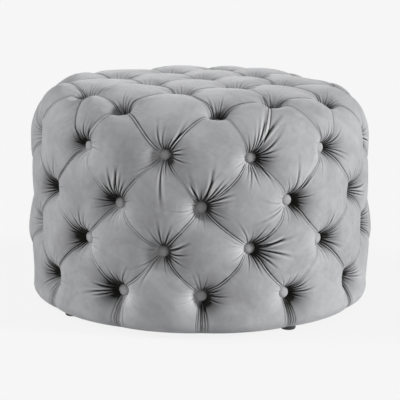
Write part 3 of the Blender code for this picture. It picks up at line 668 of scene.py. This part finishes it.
def fold_table(row, column, chance):
    """Angle, reach and depth of each wrinkle that fans out from a button."""
    folds = [(math.radians(angle), 0.001 * reach, STRONG_DEPTH * depth)
             for angle, reach, depth in STRONG_FOLDS.get((row, column), ())]
    many = 0.45 if folds else 1.0
    weaker = {0: 0.4, 9: 0.3}.get(row, 1.0)
    for centre, count, reach in ((90, 6, 0.050), (0, 5, 0.044), (270, 4, 0.036), (180, 4, 0.036)):
        number = max(1, round(many * count))
        for k in range(number):
            angle = centre + 62.0 * ((k + 0.5) / number - 0.5) + chance.uniform(-6.0, 6.0)
            folds.append((math.radians(angle), reach * chance.uniform(0.6, 1.1),
                          weaker * chance.uniform(0.0012, 0.0028)))
    return folds


def wrinkles(points):
    """Depth of the wrinkles that fan out from the buttons, in metres inwards."""
    total = np.zeros(len(points))
    up = np.array((0.0, 0.0, 1.0))
    for number, (place, (row, column)) in enumerate(zip(button_places, button_names)):
        offset = points - place
        close = np.linalg.norm(offset, axis=1) < WRINKLE_SPAN
        if not close.any():
            continue
        chance = np.random.default_rng(700 + number)
        normal = envelope(place[None, :])[1][0]
        side = np.cross(up, normal)
        if np.linalg.norm(side) < 0.2:
            side = np.array((1.0, 0.0, 0.0))
        side /= np.linalg.norm(side)
        above = np.cross(normal, side)
        x, y = offset[close] @ side, offset[close] @ above
        radius, turn = np.hypot(x, y), np.arctan2(y, x)
        dips = np.zeros(len(x))
        for angle, reach, depth in fold_table(row, column, chance):
            bend = chance.uniform(-3.5, 3.5)
            away = (turn - angle - bend * (radius - 0.012) + math.pi) % (2.0 * math.pi) - math.pi
            across = np.where(np.abs(away) < 1.2, np.abs(away) * radius, 1.0)
            # A wrinkle widens as it runs out, and more so beyond 30 mm
            width = 0.0006 + 0.015 * radius + 0.012 * np.maximum(radius - 0.030, 0.0)
            dip = groove(across, width) - 0.45 * bell(across - 2.6 * width, 1.2 * width)
            left = np.exp(-(radius / (WRINKLE_FADE * reach)) ** 3)
            dips += depth * dip * left * ramp(radius, 0.008, 0.006)
        total[close] += dips
    return total


def shaded_side_of(name):
    """Angle in radians and strength of the side of the pit round a button that is painted dark, as shade."""
    chance = np.random.default_rng(5000 + 40 * name[0] + name[1])
    angle, strength = SHADED_PIT_SIDES.get(name, (30.0 + 30.0 * chance.uniform(-1.0, 1.0), chance.uniform(0.5, 0.9)))
    return math.radians(angle), strength if 0 < name[0] < 9 else 0.5 * strength


def over_hem(place):
    """0 on the turned hem, 1 from 50 mm up."""
    return ramp(place[:, 2], 0.02, 0.03)


def cover_depth(place, normal, traits, nearest, button):
    """How deep the cover lies under the smooth form, its wrinkles and its pits; traits as in Patches."""
    crown, drawn, fold, hold = traits
    level = ramp(normal[:, 2], 0.5, 0.4)
    depth = VALLEY_DEPTH + (TOP_VALLEY_DEPTH - VALLEY_DEPTH) * level
    fullness = ROUNDNESS * (1.0 + 0.2 * smooth_noise(place, 5.0, 11))
    depth *= 1.0 - np.clip(crown, 0.0, 1.0) ** fullness
    depth *= hold * (0.45 + 0.55 * drawn)
    # Stuffing on the side, on the shoulder or on the top
    for turn, height, amount, size in STUFFING:
        radius = OUTER_RADIUS if height < SHOULDER_Z else RING_R if height < 0.46 else 0.20
        centre = direction(math.radians(turn)) * radius
        spot = on_envelope((centre.x, centre.y, height))
        depth -= 0.001 * amount * bell(np.linalg.norm(place - spot, axis=1), 0.001 * size)
    reach = np.where(button_seats[button] == TOP_SEAT, TOP_FUNNEL_SHARE, 1.0) * FUNNEL_REACH
    pit = funnel(nearest, reach * (1.0 + 0.12 * smooth_noise(place, 9.0, 31)))
    depth += (button_seats[button] - depth) * pit
    folds = wrinkles(place) * over_hem(place) * ramp(nearest, 0.010, 0.004)
    folds -= fold * hold * ramp(nearest, 0.011, 0.008)
    depth += folds + UNEVEN * (1.0 + smooth_noise(place, 7.0, 23)) * over_hem(place)
    return depth, folds, pit


def paint_light_and_shade(place, normal, near, folds, pit):
    """Painted shade and highlight: 1 where folds and one side of a pit are painted dark as shade, down to -1
    where a painted highlight turns the pile pale.
    """
    nearest, button, way = near
    right = np.column_stack((-normal[:, 1], normal[:, 0], np.zeros(len(normal))))
    right /= np.maximum(np.linalg.norm(right, axis=1), 0.2)[:, None]
    turned, strength = (np.array(values)[button] for values in zip(*map(shaded_side_of, button_names)))
    shade_way = np.cos(turned)[:, None] * right + np.sin(turned)[:, None] * np.cross(normal, right)
    toward_shade, across = dots(way, shade_way), dots(way, np.cross(normal, shade_way))
    highlight_lines = 0.5 + 0.5 * np.sin(HIGHLIGHT_STREAKS * np.arctan2(across, toward_shade) + 2.0 * smooth_noise(place, 12.0, 47))
    toward_shade *= strength
    # painted shade in the folds, and painted highlight on their raised ridges
    shade = np.clip(folds / SHADED_FOLD, -0.65, 1.0) * (0.80 + 0.40 * toward_shade)
    # painted shade on one side of each pit, and painted highlight in streaks on the other
    pit_shading = 0.38 * strength + 1.30 * toward_shade
    shade += pit_shading * np.where(pit_shading > 0.0, pit ** 0.75, pit * (0.35 + 0.65 * highlight_lines))
    # a painted dark core next to the button on its shaded side
    shade += 1.1 * ramp(toward_shade, -0.15, 1.0) * bell(nearest - 0.012, 0.007)
    return np.clip(shade, -1.0, 1.0)


def cover_piece(name, piece, material):
    """Mesh of a piece of the cover: its pillows sunk towards their pleats and buttons, with wrinkles, and the
    painted shade and highlight of the velvet as a point attribute.
    """
    place = envelope(piece.all("points"))[0]
    cells_of_points = np.round(place * 2e4).astype(np.int64)
    first, back = np.unique(cells_of_points, axis=0, return_index=True, return_inverse=True)[1:]
    *traits, bow = (piece.all(kind)[first] for kind in Patches.KINDS[1:])
    nearest = near_buttons(place[first])[0]
    place, normal = envelope(place[first] + bow * ramp(nearest, 0.02, 0.02)[:, None])
    near = near_buttons(place)
    depth, folds, pit = cover_depth(place, normal, traits, *near[:2])
    points = place - normal * depth[:, None]
    points[:, 2] -= SAG * (1.0 - bell(near[0], 0.03)) * np.hypot(normal[:, 0], normal[:, 1]) * over_hem(place)
    faces = back.ravel()[np.vstack(piece.faces)]
    edge_one, edge_two = points[faces[:, 1]] - points[faces[:, 0]], points[faces[:, 3]] - points[faces[:, 0]]
    inward = dots(np.cross(edge_one, edge_two), normal[faces[:, 0]]) < 0.0
    faces[inward] = faces[inward][:, ::-1]
    kept = [list(dict.fromkeys(face)) for face in faces.tolist()]
    made = mesh_object(name, points, [face for face in kept if len(face) > 2], material)
    # painted shade in folds and pits and painted highlight, kept on the points for the velvet
    shaded = made.data.attributes.new("painted_shade_and_light", "FLOAT", "POINT")
    shaded.data.foreach_set("value", paint_light_and_shade(place, normal, near, folds, pit).astype(np.float32))
    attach(made, "root")
    return made


# Velvet: a random mottle of the pile, then a painted highlight and painted shade read from the cover's point
# attribute.
nap_and_shade, given, result = finish_group("velvet nap and painted shade", (
    ("Pile Up", "Color", (0.405, 0.408, 0.420, 1.0)), ("Pile Down", "Color", (0.292, 0.294, 0.303, 1.0)),
    ("Painted Highlight Colour", "Color", (0.64, 0.64, 0.645, 1.0)), ("Painted Shade Colour", "Color", (0.006, 0.0055, 0.004, 1.0)),
    ("Pile Scale", "Float", 1400.0)))
place = own_place(nap_and_shade)
brushed = noise(nap_and_shade, place, 9.0, 4.0, 0.62, 0.8)
strokes = noise(nap_and_shade, place, 45.0, 6.0, distortion=1.2)
pile = noise(nap_and_shade, place, given["Pile Scale"], 2.0)
share = ranged(nap_and_shade, maths(nap_and_shade, "MULTIPLY_ADD", strokes, 0.35, brushed), 0.0, 1.0, 0.50, 0.86)
lit = mixed(nap_and_shade, share, given["Pile Down"], given["Pile Up"])
shade = node(nap_and_shade, "ShaderNodeAttribute", attribute_name="painted_shade_and_light").outputs["Fac"]
# painted highlight where the attribute is below 0
lit = mixed(nap_and_shade, maths(nap_and_shade, "MULTIPLY", shade, -1.0, clamp=True), lit, given["Painted Highlight Colour"])
# painted shade in folds and pits where the attribute is above 0
lit = mixed(nap_and_shade, maths(nap_and_shade, "MULTIPLY", shade, 1.0, clamp=True), lit, given["Painted Shade Colour"])
put_out(nap_and_shade, result, lit, pile, ranged(nap_and_shade, pile, 0.80, 0.96))


def velvety(name, pile_length, inputs=None):
    sheen = {"Sheen Weight": 0.38, "Sheen Roughness": 0.40, "Specular IOR Level": 0.2}
    return finished(new_material(name, 0.88, sheen), nap_and_shade, pile_length, inputs)


velvet = velvety("grey velvet", 0.0004)

top = Patches()
for quarter in range(4):
    for i, j in ((0, 0), (1, 0), (0, 1)):
        pillow(top, [top_name(i + di, j + dj, quarter) for di, dj in ((0, 0), (1, 0), (1, 1), (0, 1))])
    pillow(top, (top_name(1, 1, quarter), top_name(2, 1, quarter),
                 side_name(1, (quarter + 1) * QUARTER), top_name(1, 2, quarter)))
top_cover = cover_piece("top_cover_velvet", top, velvet)
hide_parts("top_cover")

for number, side in enumerate(("front", "right", "left")):
    first_column = number * COLUMNS // 3 - COLUMNS // 12
    piece = Patches()
    for column in range(first_column, first_column + COLUMNS // 3):
        for row in (1, 2, 3):
            if (row + column) % 2 == 0:
                pillow(piece, (side_name(row - 1, column), side_name(row, column + 1),
                               side_name(row + 1, column), side_name(row, column - 1)))
        if column % 2 == 0:
            hem_pillow(piece, column)
            if column % QUARTER:
                shoulder = side_name(0, column + 1), side_name(0, column - 1)
                pillow(piece, (side_name(1, column), *shoulder), "three")
    made = cover_piece("side_cover_%s_velvet" % side, piece, velvet)
    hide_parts("side_cover_" + side)

# Buttons
# Metal moulds 22 mm across, covered in the same velvet: nine on the top, twelve round the shoulder and
# forty-eight on the side, each seated at the bottom of its pit.
BUTTON_RADIUS = 0.0111
BUTTON_RISE = 0.0042
BUTTON_BACK = 0.0030
BUTTON_FLATNESS = 3.6  # power of the dome; higher is flatter
BUTTON_SIT = 0.0012  # the rim sits this far over the cloth under it
BUTTON_PUCKER = 0.00035  # gathers of the velvet round the rim
PUCKERS = 11.0
button_velvet = velvety("button velvet", 0.0003, {"Pile Up": (0.42, 0.42, 0.43, 1.0),
                                                  "Pile Down": (0.31, 0.31, 0.315, 1.0)})


def geometry_group(name, **sizes):
    """Geometry node group with points in and a mesh out; its further inputs are sizes and a material."""
    group = bpy.data.node_groups.new(name, "GeometryNodeTree")
    group.interface.new_socket("Geometry", in_out="INPUT", socket_type="NodeSocketGeometry")
    group.interface.new_socket("Geometry", in_out="OUTPUT", socket_type="NodeSocketGeometry")
    for label, value in sizes.items():
        size = group.interface.new_socket(label, in_out="INPUT", socket_type="NodeSocketFloat")
        size.default_value = value
    group.interface.new_socket("Material", in_out="INPUT", socket_type="NodeSocketMaterial")
    return group, group.nodes.new("NodeGroupInput").outputs, group.nodes.new("NodeGroupOutput").inputs


def named(tree, label, kind="FLOAT"):
    """What the points carry under this name."""
    return node(tree, "GeometryNodeInputNamedAttribute", {"Name": label}, data_type=kind).outputs[0]


def vector(tree, *values):
    return node(tree, "ShaderNodeCombineXYZ", dict(enumerate(values))).outputs[0]


def own_axes(tree):
    """X, Y and Z of each point of a shape."""
    position = node(tree, "GeometryNodeInputPosition").outputs[0]
    return node(tree, "ShaderNodeSeparateXYZ", {0: position}).outputs


def moved(tree, shape, **where):
    """Shape with its points at a Position or shifted by an Offset."""
    return node(tree, "GeometryNodeSetPosition", {"Geometry": shape, **where}).outputs[0]


def facing_turn(tree):
    """Rotation that lays a shape's Z axis along a point's facing, turned about it by the point's turn."""
    facing, turn = named(tree, "facing", "FLOAT_VECTOR"), named(tree, "turn")
    upright = node(tree, "FunctionNodeAlignRotationToVector", {"Vector": facing}, axis="Z")
    about = node(tree, "FunctionNodeAxisAngleToRotation", {"Axis": (0.0, 0.0, 1.0), "Angle": turn})
    both = {"Rotation": upright.outputs[0], "Rotate By": about.outputs[0]}
    return node(tree, "FunctionNodeRotateRotation", both, rotation_space="LOCAL").outputs[0]


def on_points(tree, points, shape, turn, scale=(1.0, 1.0, 1.0)):
    inputs = {"Points": points, "Instance": shape, "Rotation": turn, "Scale": scale}
    return node(tree, "GeometryNodeInstanceOnPoints", inputs).outputs[0]


def put_out_mesh(tree, given, result, instances):
    """Realizes the instances, smooth and with the given material."""
    shape = node(tree, "GeometryNodeRealizeInstances", {"Geometry": instances}).outputs[0]
    shape = node(tree, "GeometryNodeSetShadeSmooth", {"Geometry": shape}).outputs[0]
    shape = node(tree, "GeometryNodeSetMaterial", {"Geometry": shape, "Material": given["Material"]})
    tree.links.new(shape.outputs[0], result["Geometry"])


def grown(name, group, points, facing, material, lengths=None, turns=None):
    """Plain mesh object made by a geometry node group from points with a facing, a length and a turn each."""
    if lengths is None:
        lengths = np.ones(len(points))
    if turns is None:
        turns = np.random.default_rng(len(points)).uniform(0.0, 2.0 * math.pi, len(points))
    start = bpy.data.meshes.new(name + "_points")
    start.from_pydata([tuple(point) for point in points], [], [])
    carried = start.attributes.new("facing", "FLOAT_VECTOR", "POINT")
    carried.data.foreach_set("vector", np.array(facing, dtype=np.float32).ravel())
    for label, values in (("length", lengths), ("turn", turns)):
        carried = start.attributes.new(label, "FLOAT", "POINT")
        carried.data.foreach_set("value", np.array(values, dtype=np.float32))
    made = placed_object(name, start)
    grower = made.modifiers.new("grown", "NODES")
    grower.node_group = group
    identifiers = {item.name: item.identifier for item in group.interface.items_tree
                   if item.item_type == "SOCKET" and item.in_out == "INPUT"}
    grower[identifiers["Material"]] = material
    view = bpy.context.evaluated_depsgraph_get()
    plain = bpy.data.meshes.new_from_object(made.evaluated_get(view), depsgraph=view)
    made.modifiers.clear()
    made.data = plain
    bpy.data.meshes.remove(start)
    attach(made, "root")
    return made


domed, given, result = geometry_group("covered button", Radius=BUTTON_RADIUS, Rise=BUTTON_RISE,
                                      Back=BUTTON_BACK, Pucker=BUTTON_PUCKER)
ball = node(domed, "GeometryNodeMeshUVSphere", {"Segments": 36, "Rings": 18, "Radius": 1.0})
x, y, z = own_axes(domed)
radius = maths(domed, "SQRT", maths(domed, "MULTIPLY_ADD", x, x, maths(domed, "MULTIPLY", y, y)))
crown = maths(domed, "SUBTRACT", 1.0, maths(domed, "POWER", radius, BUTTON_FLATNESS))
crown = maths(domed, "MULTIPLY", crown, given["Rise"])
under = maths(domed, "SUBTRACT", maths(domed, "POWER", radius, 4.0), 1.0)
under = maths(domed, "MULTIPLY", under, given["Back"])
upper = maths(domed, "GREATER_THAN", z, 0.0)
height = maths(domed, "MULTIPLY_ADD", maths(domed, "SUBTRACT", crown, under), upper, under)
around = maths(domed, "MULTIPLY", maths(domed, "ARCTAN2", y, x), PUCKERS)
gathers = maths(domed, "MULTIPLY", maths(domed, "SINE", around), given["Pucker"])
gathers = maths(domed, "MULTIPLY", gathers, maths(domed, "POWER", radius, 6.0))
size = maths(domed, "ADD", given["Radius"], gathers)
place = vector(domed, maths(domed, "MULTIPLY", x, size), maths(domed, "MULTIPLY", y, size), height)
shape = moved(domed, ball.outputs["Mesh"], Position=place)
put_out_mesh(domed, given, result, on_points(domed, given["Geometry"], shape, facing_turn(domed)))


def seats(names, lift):
    """Seats of buttons, lifted off the cloth, and the way each faces."""
    crown, normal = envelope(np.array([button_at[name] for name in names]))
    return crown - normal * (seat_depths(names) - lift)[:, None], normal


top_nodes = ["button_top_%d" % number for number in range(1, 10)]
edge_nodes = ["button_edge_%d" % number for number in range(1, 13)]
for group_name, names, nodes in (("top_buttons", top_names, top_nodes),
                                 ("shoulder_buttons", ring_names, edge_nodes),
                                 ("side_buttons", side_names, ["side_panel"])):
    places, facing = seats(names, BUTTON_SIT)
    buttons = grown(group_name, domed, places, facing, button_velvet)
    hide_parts(*nodes)

# Twine
# Waxed linen twine, tied to the loop of each button and drawn through the foam: through the top board
# to a knot under it, or through the side panel and stapled to its inside.
TWINE_RADIUS = 0.0011
KNOT_RADIUS = 0.0036
BOARD_BOTTOM = 0.376
TWINE_TAIL = 0.002
waxed = mottled("waxed twine", 0.6, 900.0, 3.0, (0.62, 0.54, 0.38), (0.82, 0.76, 0.60), 0.0003)

strung, given, result = geometry_group("twine and knot", Radius=TWINE_RADIUS, Knot=KNOT_RADIUS)
length = named(strung, "length")
line = node(strung, "GeometryNodeMeshCylinder", {"Vertices": 8, "Radius": given["Radius"], "Depth": 1.0})
hanging = node(strung, "GeometryNodeTransform", {"Geometry": line.outputs["Mesh"],
                                                 "Translation": (0.0, 0.0, -0.5)})
turn = facing_turn(strung)
lines = on_points(strung, given["Geometry"], hanging.outputs[0], turn, vector(strung, 1.0, 1.0, length))
facing, back = named(strung, "facing", "FLOAT_VECTOR"), maths(strung, "MULTIPLY", length, -1.0)
drop = node(strung, "ShaderNodeVectorMath", {0: facing, "Scale": back}, operation="SCALE")
ends = moved(strung, given["Geometry"], Offset=drop.outputs[0])
bead = node(strung, "GeometryNodeMeshUVSphere", {"Segments": 12, "Rings": 8, "Radius": given["Knot"]})
flat = node(strung, "GeometryNodeTransform", {"Geometry": bead.outputs["Mesh"], "Scale": (1.0, 0.8, 0.5)})
joined = node(strung, "GeometryNodeJoinGeometry")
for instances in (lines, on_points(strung, ends, flat.outputs[0], turn)):
    strung.links.new(instances, joined.inputs[0])
put_out_mesh(strung, given, result, joined.outputs[0])

knots = []
for name in top_nodes + edge_nodes:
    places = np.array([vertex.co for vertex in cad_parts[name].data.vertices])
    knots.append(places[places[:, 2] < BOARD_BOTTOM].mean(axis=0))
places, facing = seats(top_names + ring_names, 0.0)
ways = []
for place in places:
    ways.append(min((Vector(place) - Vector(knot) for knot in knots), key=lambda way: way.xy.length))
grown("board_twine", strung, places, [way.normalized() for way in ways], waxed, [way.length for way in ways])
places, facing = seats(side_names, 0.0)
lengths = (np.hypot(places[:, 0], places[:, 1]) - PANEL_INNER) / np.hypot(facing[:, 0], facing[:, 1])
grown("panel_twine", strung, places, facing, waxed, lengths + TWINE_TAIL)

# Dust cover
# Black spun-bonded cloth under the base, its edge over the turned hem, pulled flat by hand and stapled
# all round. It hangs a little in the ring's opening.
DUST_RADIUS = 0.285
DUST_TOP = 0.0097
DUST_THICKNESS = 0.0007
DUST_SAG = 0.0028
DUST_OPENING = 0.222  # it sags inside this radius
DUST_PUCKER = 0.0005  # between its staples
DUST_EDGE_WAVE = 0.0008
DUST_RINGS = 24
DUST_TURNS = 176
STAPLES = 44
STAPLE_WIDTH = 0.010
STAPLE_WIRE = 0.0005
STAPLE_SKEW = 0.3  # radians off the rim, at most
STAPLE_LEG = 0.0009  # how far its ends show bent into the board


def web_height(tree, place, web):
    return maths(tree, "ADD", cells(tree, place, 420.0), web)


black_cloth = mottled("black spun cloth", 0.95, 240.0, 5.0, (0.012, 0.012, 0.013), (0.040, 0.040, 0.042),
                      0.0003, relief=web_height)
# Rings of points, outwards on the upper side and back in on the lower one, then a point in each middle
levels = [(ring, DUST_TOP) for ring in range(1, DUST_RINGS + 1)]
levels += [(ring, DUST_TOP - DUST_THICKNESS) for ring in range(DUST_RINGS, 0, -1)]
points, faces = [], []
for ring, height in levels:
    share = ring / DUST_RINGS
    sag = DUST_SAG * max(0.0, 1.0 - (share * DUST_RADIUS / DUST_OPENING) ** 2)
    for k in range(DUST_TURNS):
        turn = 2.0 * math.pi * k / DUST_TURNS
        wave = math.sin(STAPLES * turn)
        pucker = abs(DUST_PUCKER * wave) * bell((1.0 - share) / 0.12, 1.0)
        reach = DUST_RADIUS * share + (DUST_EDGE_WAVE * wave if ring == DUST_RINGS else 0.0)
        points.append(direction(turn) * reach + Vector((0.0, 0.0, height - sag - pucker)))
for start in range(0, len(points) - DUST_TURNS, DUST_TURNS):
    for k in range(DUST_TURNS):
        after = (k + 1) % DUST_TURNS
        faces.append((start + k, start + after, start + DUST_TURNS + after, start + DUST_TURNS + k))
for start, height in ((0, DUST_TOP), (len(points) - DUST_TURNS, DUST_TOP - DUST_THICKNESS)):
    faces += [(start + k, start + (k + 1) % DUST_TURNS, len(points)) for k in range(DUST_TURNS)]
    points.append(Vector((0.0, 0.0, height - DUST_SAG)))
dust_sheet = mesh_object("dust_cover_cloth", points, faces, black_cloth)
facing_out(dust_sheet)
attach(dust_sheet, "root")
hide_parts("dust_cover")

zinc = mottled("zinc-plated steel", 0.32, 700.0, 4.0, (0.50, 0.49, 0.44), (0.72, 0.70, 0.62), 0.00005,
               rough=(0.25, 0.45), uniform={"Metallic": 1.0})

stapled, given, result = geometry_group("staples", Width=STAPLE_WIDTH, Wire=STAPLE_WIRE, Leg=STAPLE_LEG)
wire = node(stapled, "GeometryNodeCurvePrimitiveLine", {"Start": (-1.0, 0.0, 0.0), "End": (1.0, 0.0, 0.0)})
fine = node(stapled, "GeometryNodeResampleCurve", {"Curve": wire.outputs[0], "Count": 9})
along = own_axes(stapled)[0]
ends = maths(stapled, "POWER", maths(stapled, "ABSOLUTE", along), 8.0)
half = maths(stapled, "MULTIPLY", given["Width"], 0.5)
leg = maths(stapled, "MULTIPLY", given["Leg"], -1.0)
bent = vector(stapled, maths(stapled, "MULTIPLY", along, half), 0.0, maths(stapled, "MULTIPLY", ends, leg))
round_wire = node(stapled, "GeometryNodeCurvePrimitiveCircle", {"Resolution": 6, "Radius": given["Wire"]})
bent_wire = moved(stapled, fine.outputs[0], Position=bent)
staple = node(stapled, "GeometryNodeCurveToMesh", {
    "Curve": bent_wire, "Profile Curve": round_wire.outputs["Curve"], "Fill Caps": True})
spread_out = on_points(stapled, given["Geometry"], staple.outputs[0], facing_turn(stapled))
put_out_mesh(stapled, given, result, spread_out)
# Each row of staples: number, radius of their circle, height
STAPLE_ROWS = (
    ("dust_cover_staples", STAPLES, 0.2765, DUST_TOP - DUST_THICKNESS - 0.0012),
    ("hem_staples", 72, 0.2985, BODY_BOTTOM - 0.0004),
)
for name, number, circle, height in STAPLE_ROWS:
    chance = np.random.default_rng(number)
    round_turns = 2.0 * math.pi * (np.arange(number) + 0.25 + chance.uniform(-0.1, 0.1, number)) / number
    places = [direction(turn) * circle + Vector((0.0, 0.0, height)) for turn in round_turns]
    staples = grown(name, stapled, places, [(0.0, 0.0, -1.0)] * number, zinc,
                    turns=-round_turns + chance.uniform(-STAPLE_SKEW, STAPLE_SKEW, number))

# Feet
# Four glides of moulded black plastic, each held by a zinc-plated screw through the hem into the ring.
# Screws of the same kind join the uprights to the ring and to the board.
black = mottled("black plastic", 0.42, 90.0, 6.0, (0.008, 0.008, 0.008), (0.022, 0.022, 0.022), 0.0002,
                rough=(0.34, 0.52), relief=lambda tree, place, scuffs: noise(tree, place, 1800.0, 2.0))
for number in range(1, 5):
    dress("foot_%d" % number, black)
    dress("foot_screw_%d" % number, zinc)
for number in range(1, 7):
    dress("top_board_screw_%d" % number, zinc)
    dress("base_screw_%d" % number, zinc)

# Floor, light and camera
# A pale seamless floor and a white surround, a hard lamp on the right and a soft one on the left, and
# the camera that the photograph was taken with, as far as the outline and the buttons give it.
FLOOR_HALF = 30.0
FLOOR_GLOW = 0.953  # how bright the floor and the surround are where they are seen directly
FLOOR_GLOW_SHARE = 0.90  # the rest takes the ottoman's shadow
SURROUND_GLOW = 0.92
SURROUND_LIGHT = 0.24


def seen(tree):
    """1 for rays that come from the camera, a reflection or through glass, and 0 for light."""
    rays = node(tree, "ShaderNodeLightPath").outputs
    either = maths(tree, "MAXIMUM", rays["Is Camera Ray"], rays["Is Glossy Ray"])
    return maths(tree, "MAXIMUM", either, rays["Is Transmission Ray"])


def switched(tree, share, lit, shown, end):
    either = node(tree, "ShaderNodeMixShader", {0: share, 1: lit.outputs[0], 2: shown.outputs[0]})
    tree.links.new(either.outputs[0], tree.nodes[end].inputs["Surface"])


floor_material, tree, shader = new_material("pale floor", 0.9, {"Base Color": (0.66, 0.66, 0.66, 1.0)})
floor = mesh_object("floor", [(-FLOOR_HALF, -FLOOR_HALF, 0), (FLOOR_HALF, -FLOOR_HALF, 0),
                              (FLOOR_HALF, FLOOR_HALF, 0), (-FLOOR_HALF, FLOOR_HALF, 0)],
                    [(0, 1, 2, 3)], floor_material)
glow = node(tree, "ShaderNodeEmission", {"Color": (FLOOR_GLOW, FLOOR_GLOW, FLOOR_GLOW, 1.0)})
switched(tree, maths(tree, "MULTIPLY", seen(tree), FLOOR_GLOW_SHARE), shader, glow, "Material Output")

world = bpy.data.worlds.new("studio")
bpy.context.scene.world = world
world.use_nodes = True
tree = world.node_tree
studio = tree.nodes["Background"]
studio.inputs["Color"].default_value = (1.0, 1.0, 1.0, 1.0)
studio.inputs["Strength"].default_value = SURROUND_LIGHT
white = node(tree, "ShaderNodeBackground", {"Color": (SURROUND_GLOW, SURROUND_GLOW, SURROUND_GLOW, 1.0)})
switched(tree, seen(tree), studio, white, "World Output")

CAMERA_TURN = math.radians(13.27)
# Each lamp: power, then in degrees its softness, its angle round from the camera and its height
LAMPS = (("key", 3.75, 9.0, 76.0, 17.0), ("fill", 2.5, 40.0, -86.0, 24.0))
for name, power, softness, turn, rise_angle in LAMPS:
    sun = bpy.data.lights.new(name, "SUN")
    sun.energy = power
    sun.angle = math.radians(softness)
    lamp = placed_object(name, sun)
    way = direction(CAMERA_TURN + math.radians(turn)) * math.cos(math.radians(rise_angle))
    way.z = math.sin(math.radians(rise_angle))
    lamp.rotation_euler = way.to_track_quat("Z", "Y").to_euler()

CAMERA_DISTANCE = 3.1
CAMERA_HEIGHT = 0.863
CAMERA_PITCH = math.radians(12.06)
CAMERA_ROLL = math.radians(0.48)
CAMERA_YAW = math.radians(0.019)
FOCAL_PIXELS = 1515.0  # focal length in pixels of a picture of this width
PICTURE_PIXELS = 400.0
SENSOR_WIDTH = 36.0
lens = bpy.data.cameras.new("camera")
lens.sensor_width = SENSOR_WIDTH
lens.lens = FOCAL_PIXELS / PICTURE_PIXELS * SENSOR_WIDTH
camera = placed_object("camera", lens)
camera.location = direction(CAMERA_TURN) * CAMERA_DISTANCE + Vector((0.0, 0.0, CAMERA_HEIGHT))
forward = -(direction(CAMERA_TURN + CAMERA_YAW) * math.cos(CAMERA_PITCH)
            + Vector((0.0, 0.0, math.sin(CAMERA_PITCH))))
level = forward.to_track_quat("-Z", "Y").to_matrix()
camera.rotation_euler = (level.to_4x4() @ Matrix.Rotation(CAMERA_ROLL, 4, "Z")).to_euler()
bpy.context.scene.camera = camera
bpy.context.scene.view_settings.view_transform = "Standard"
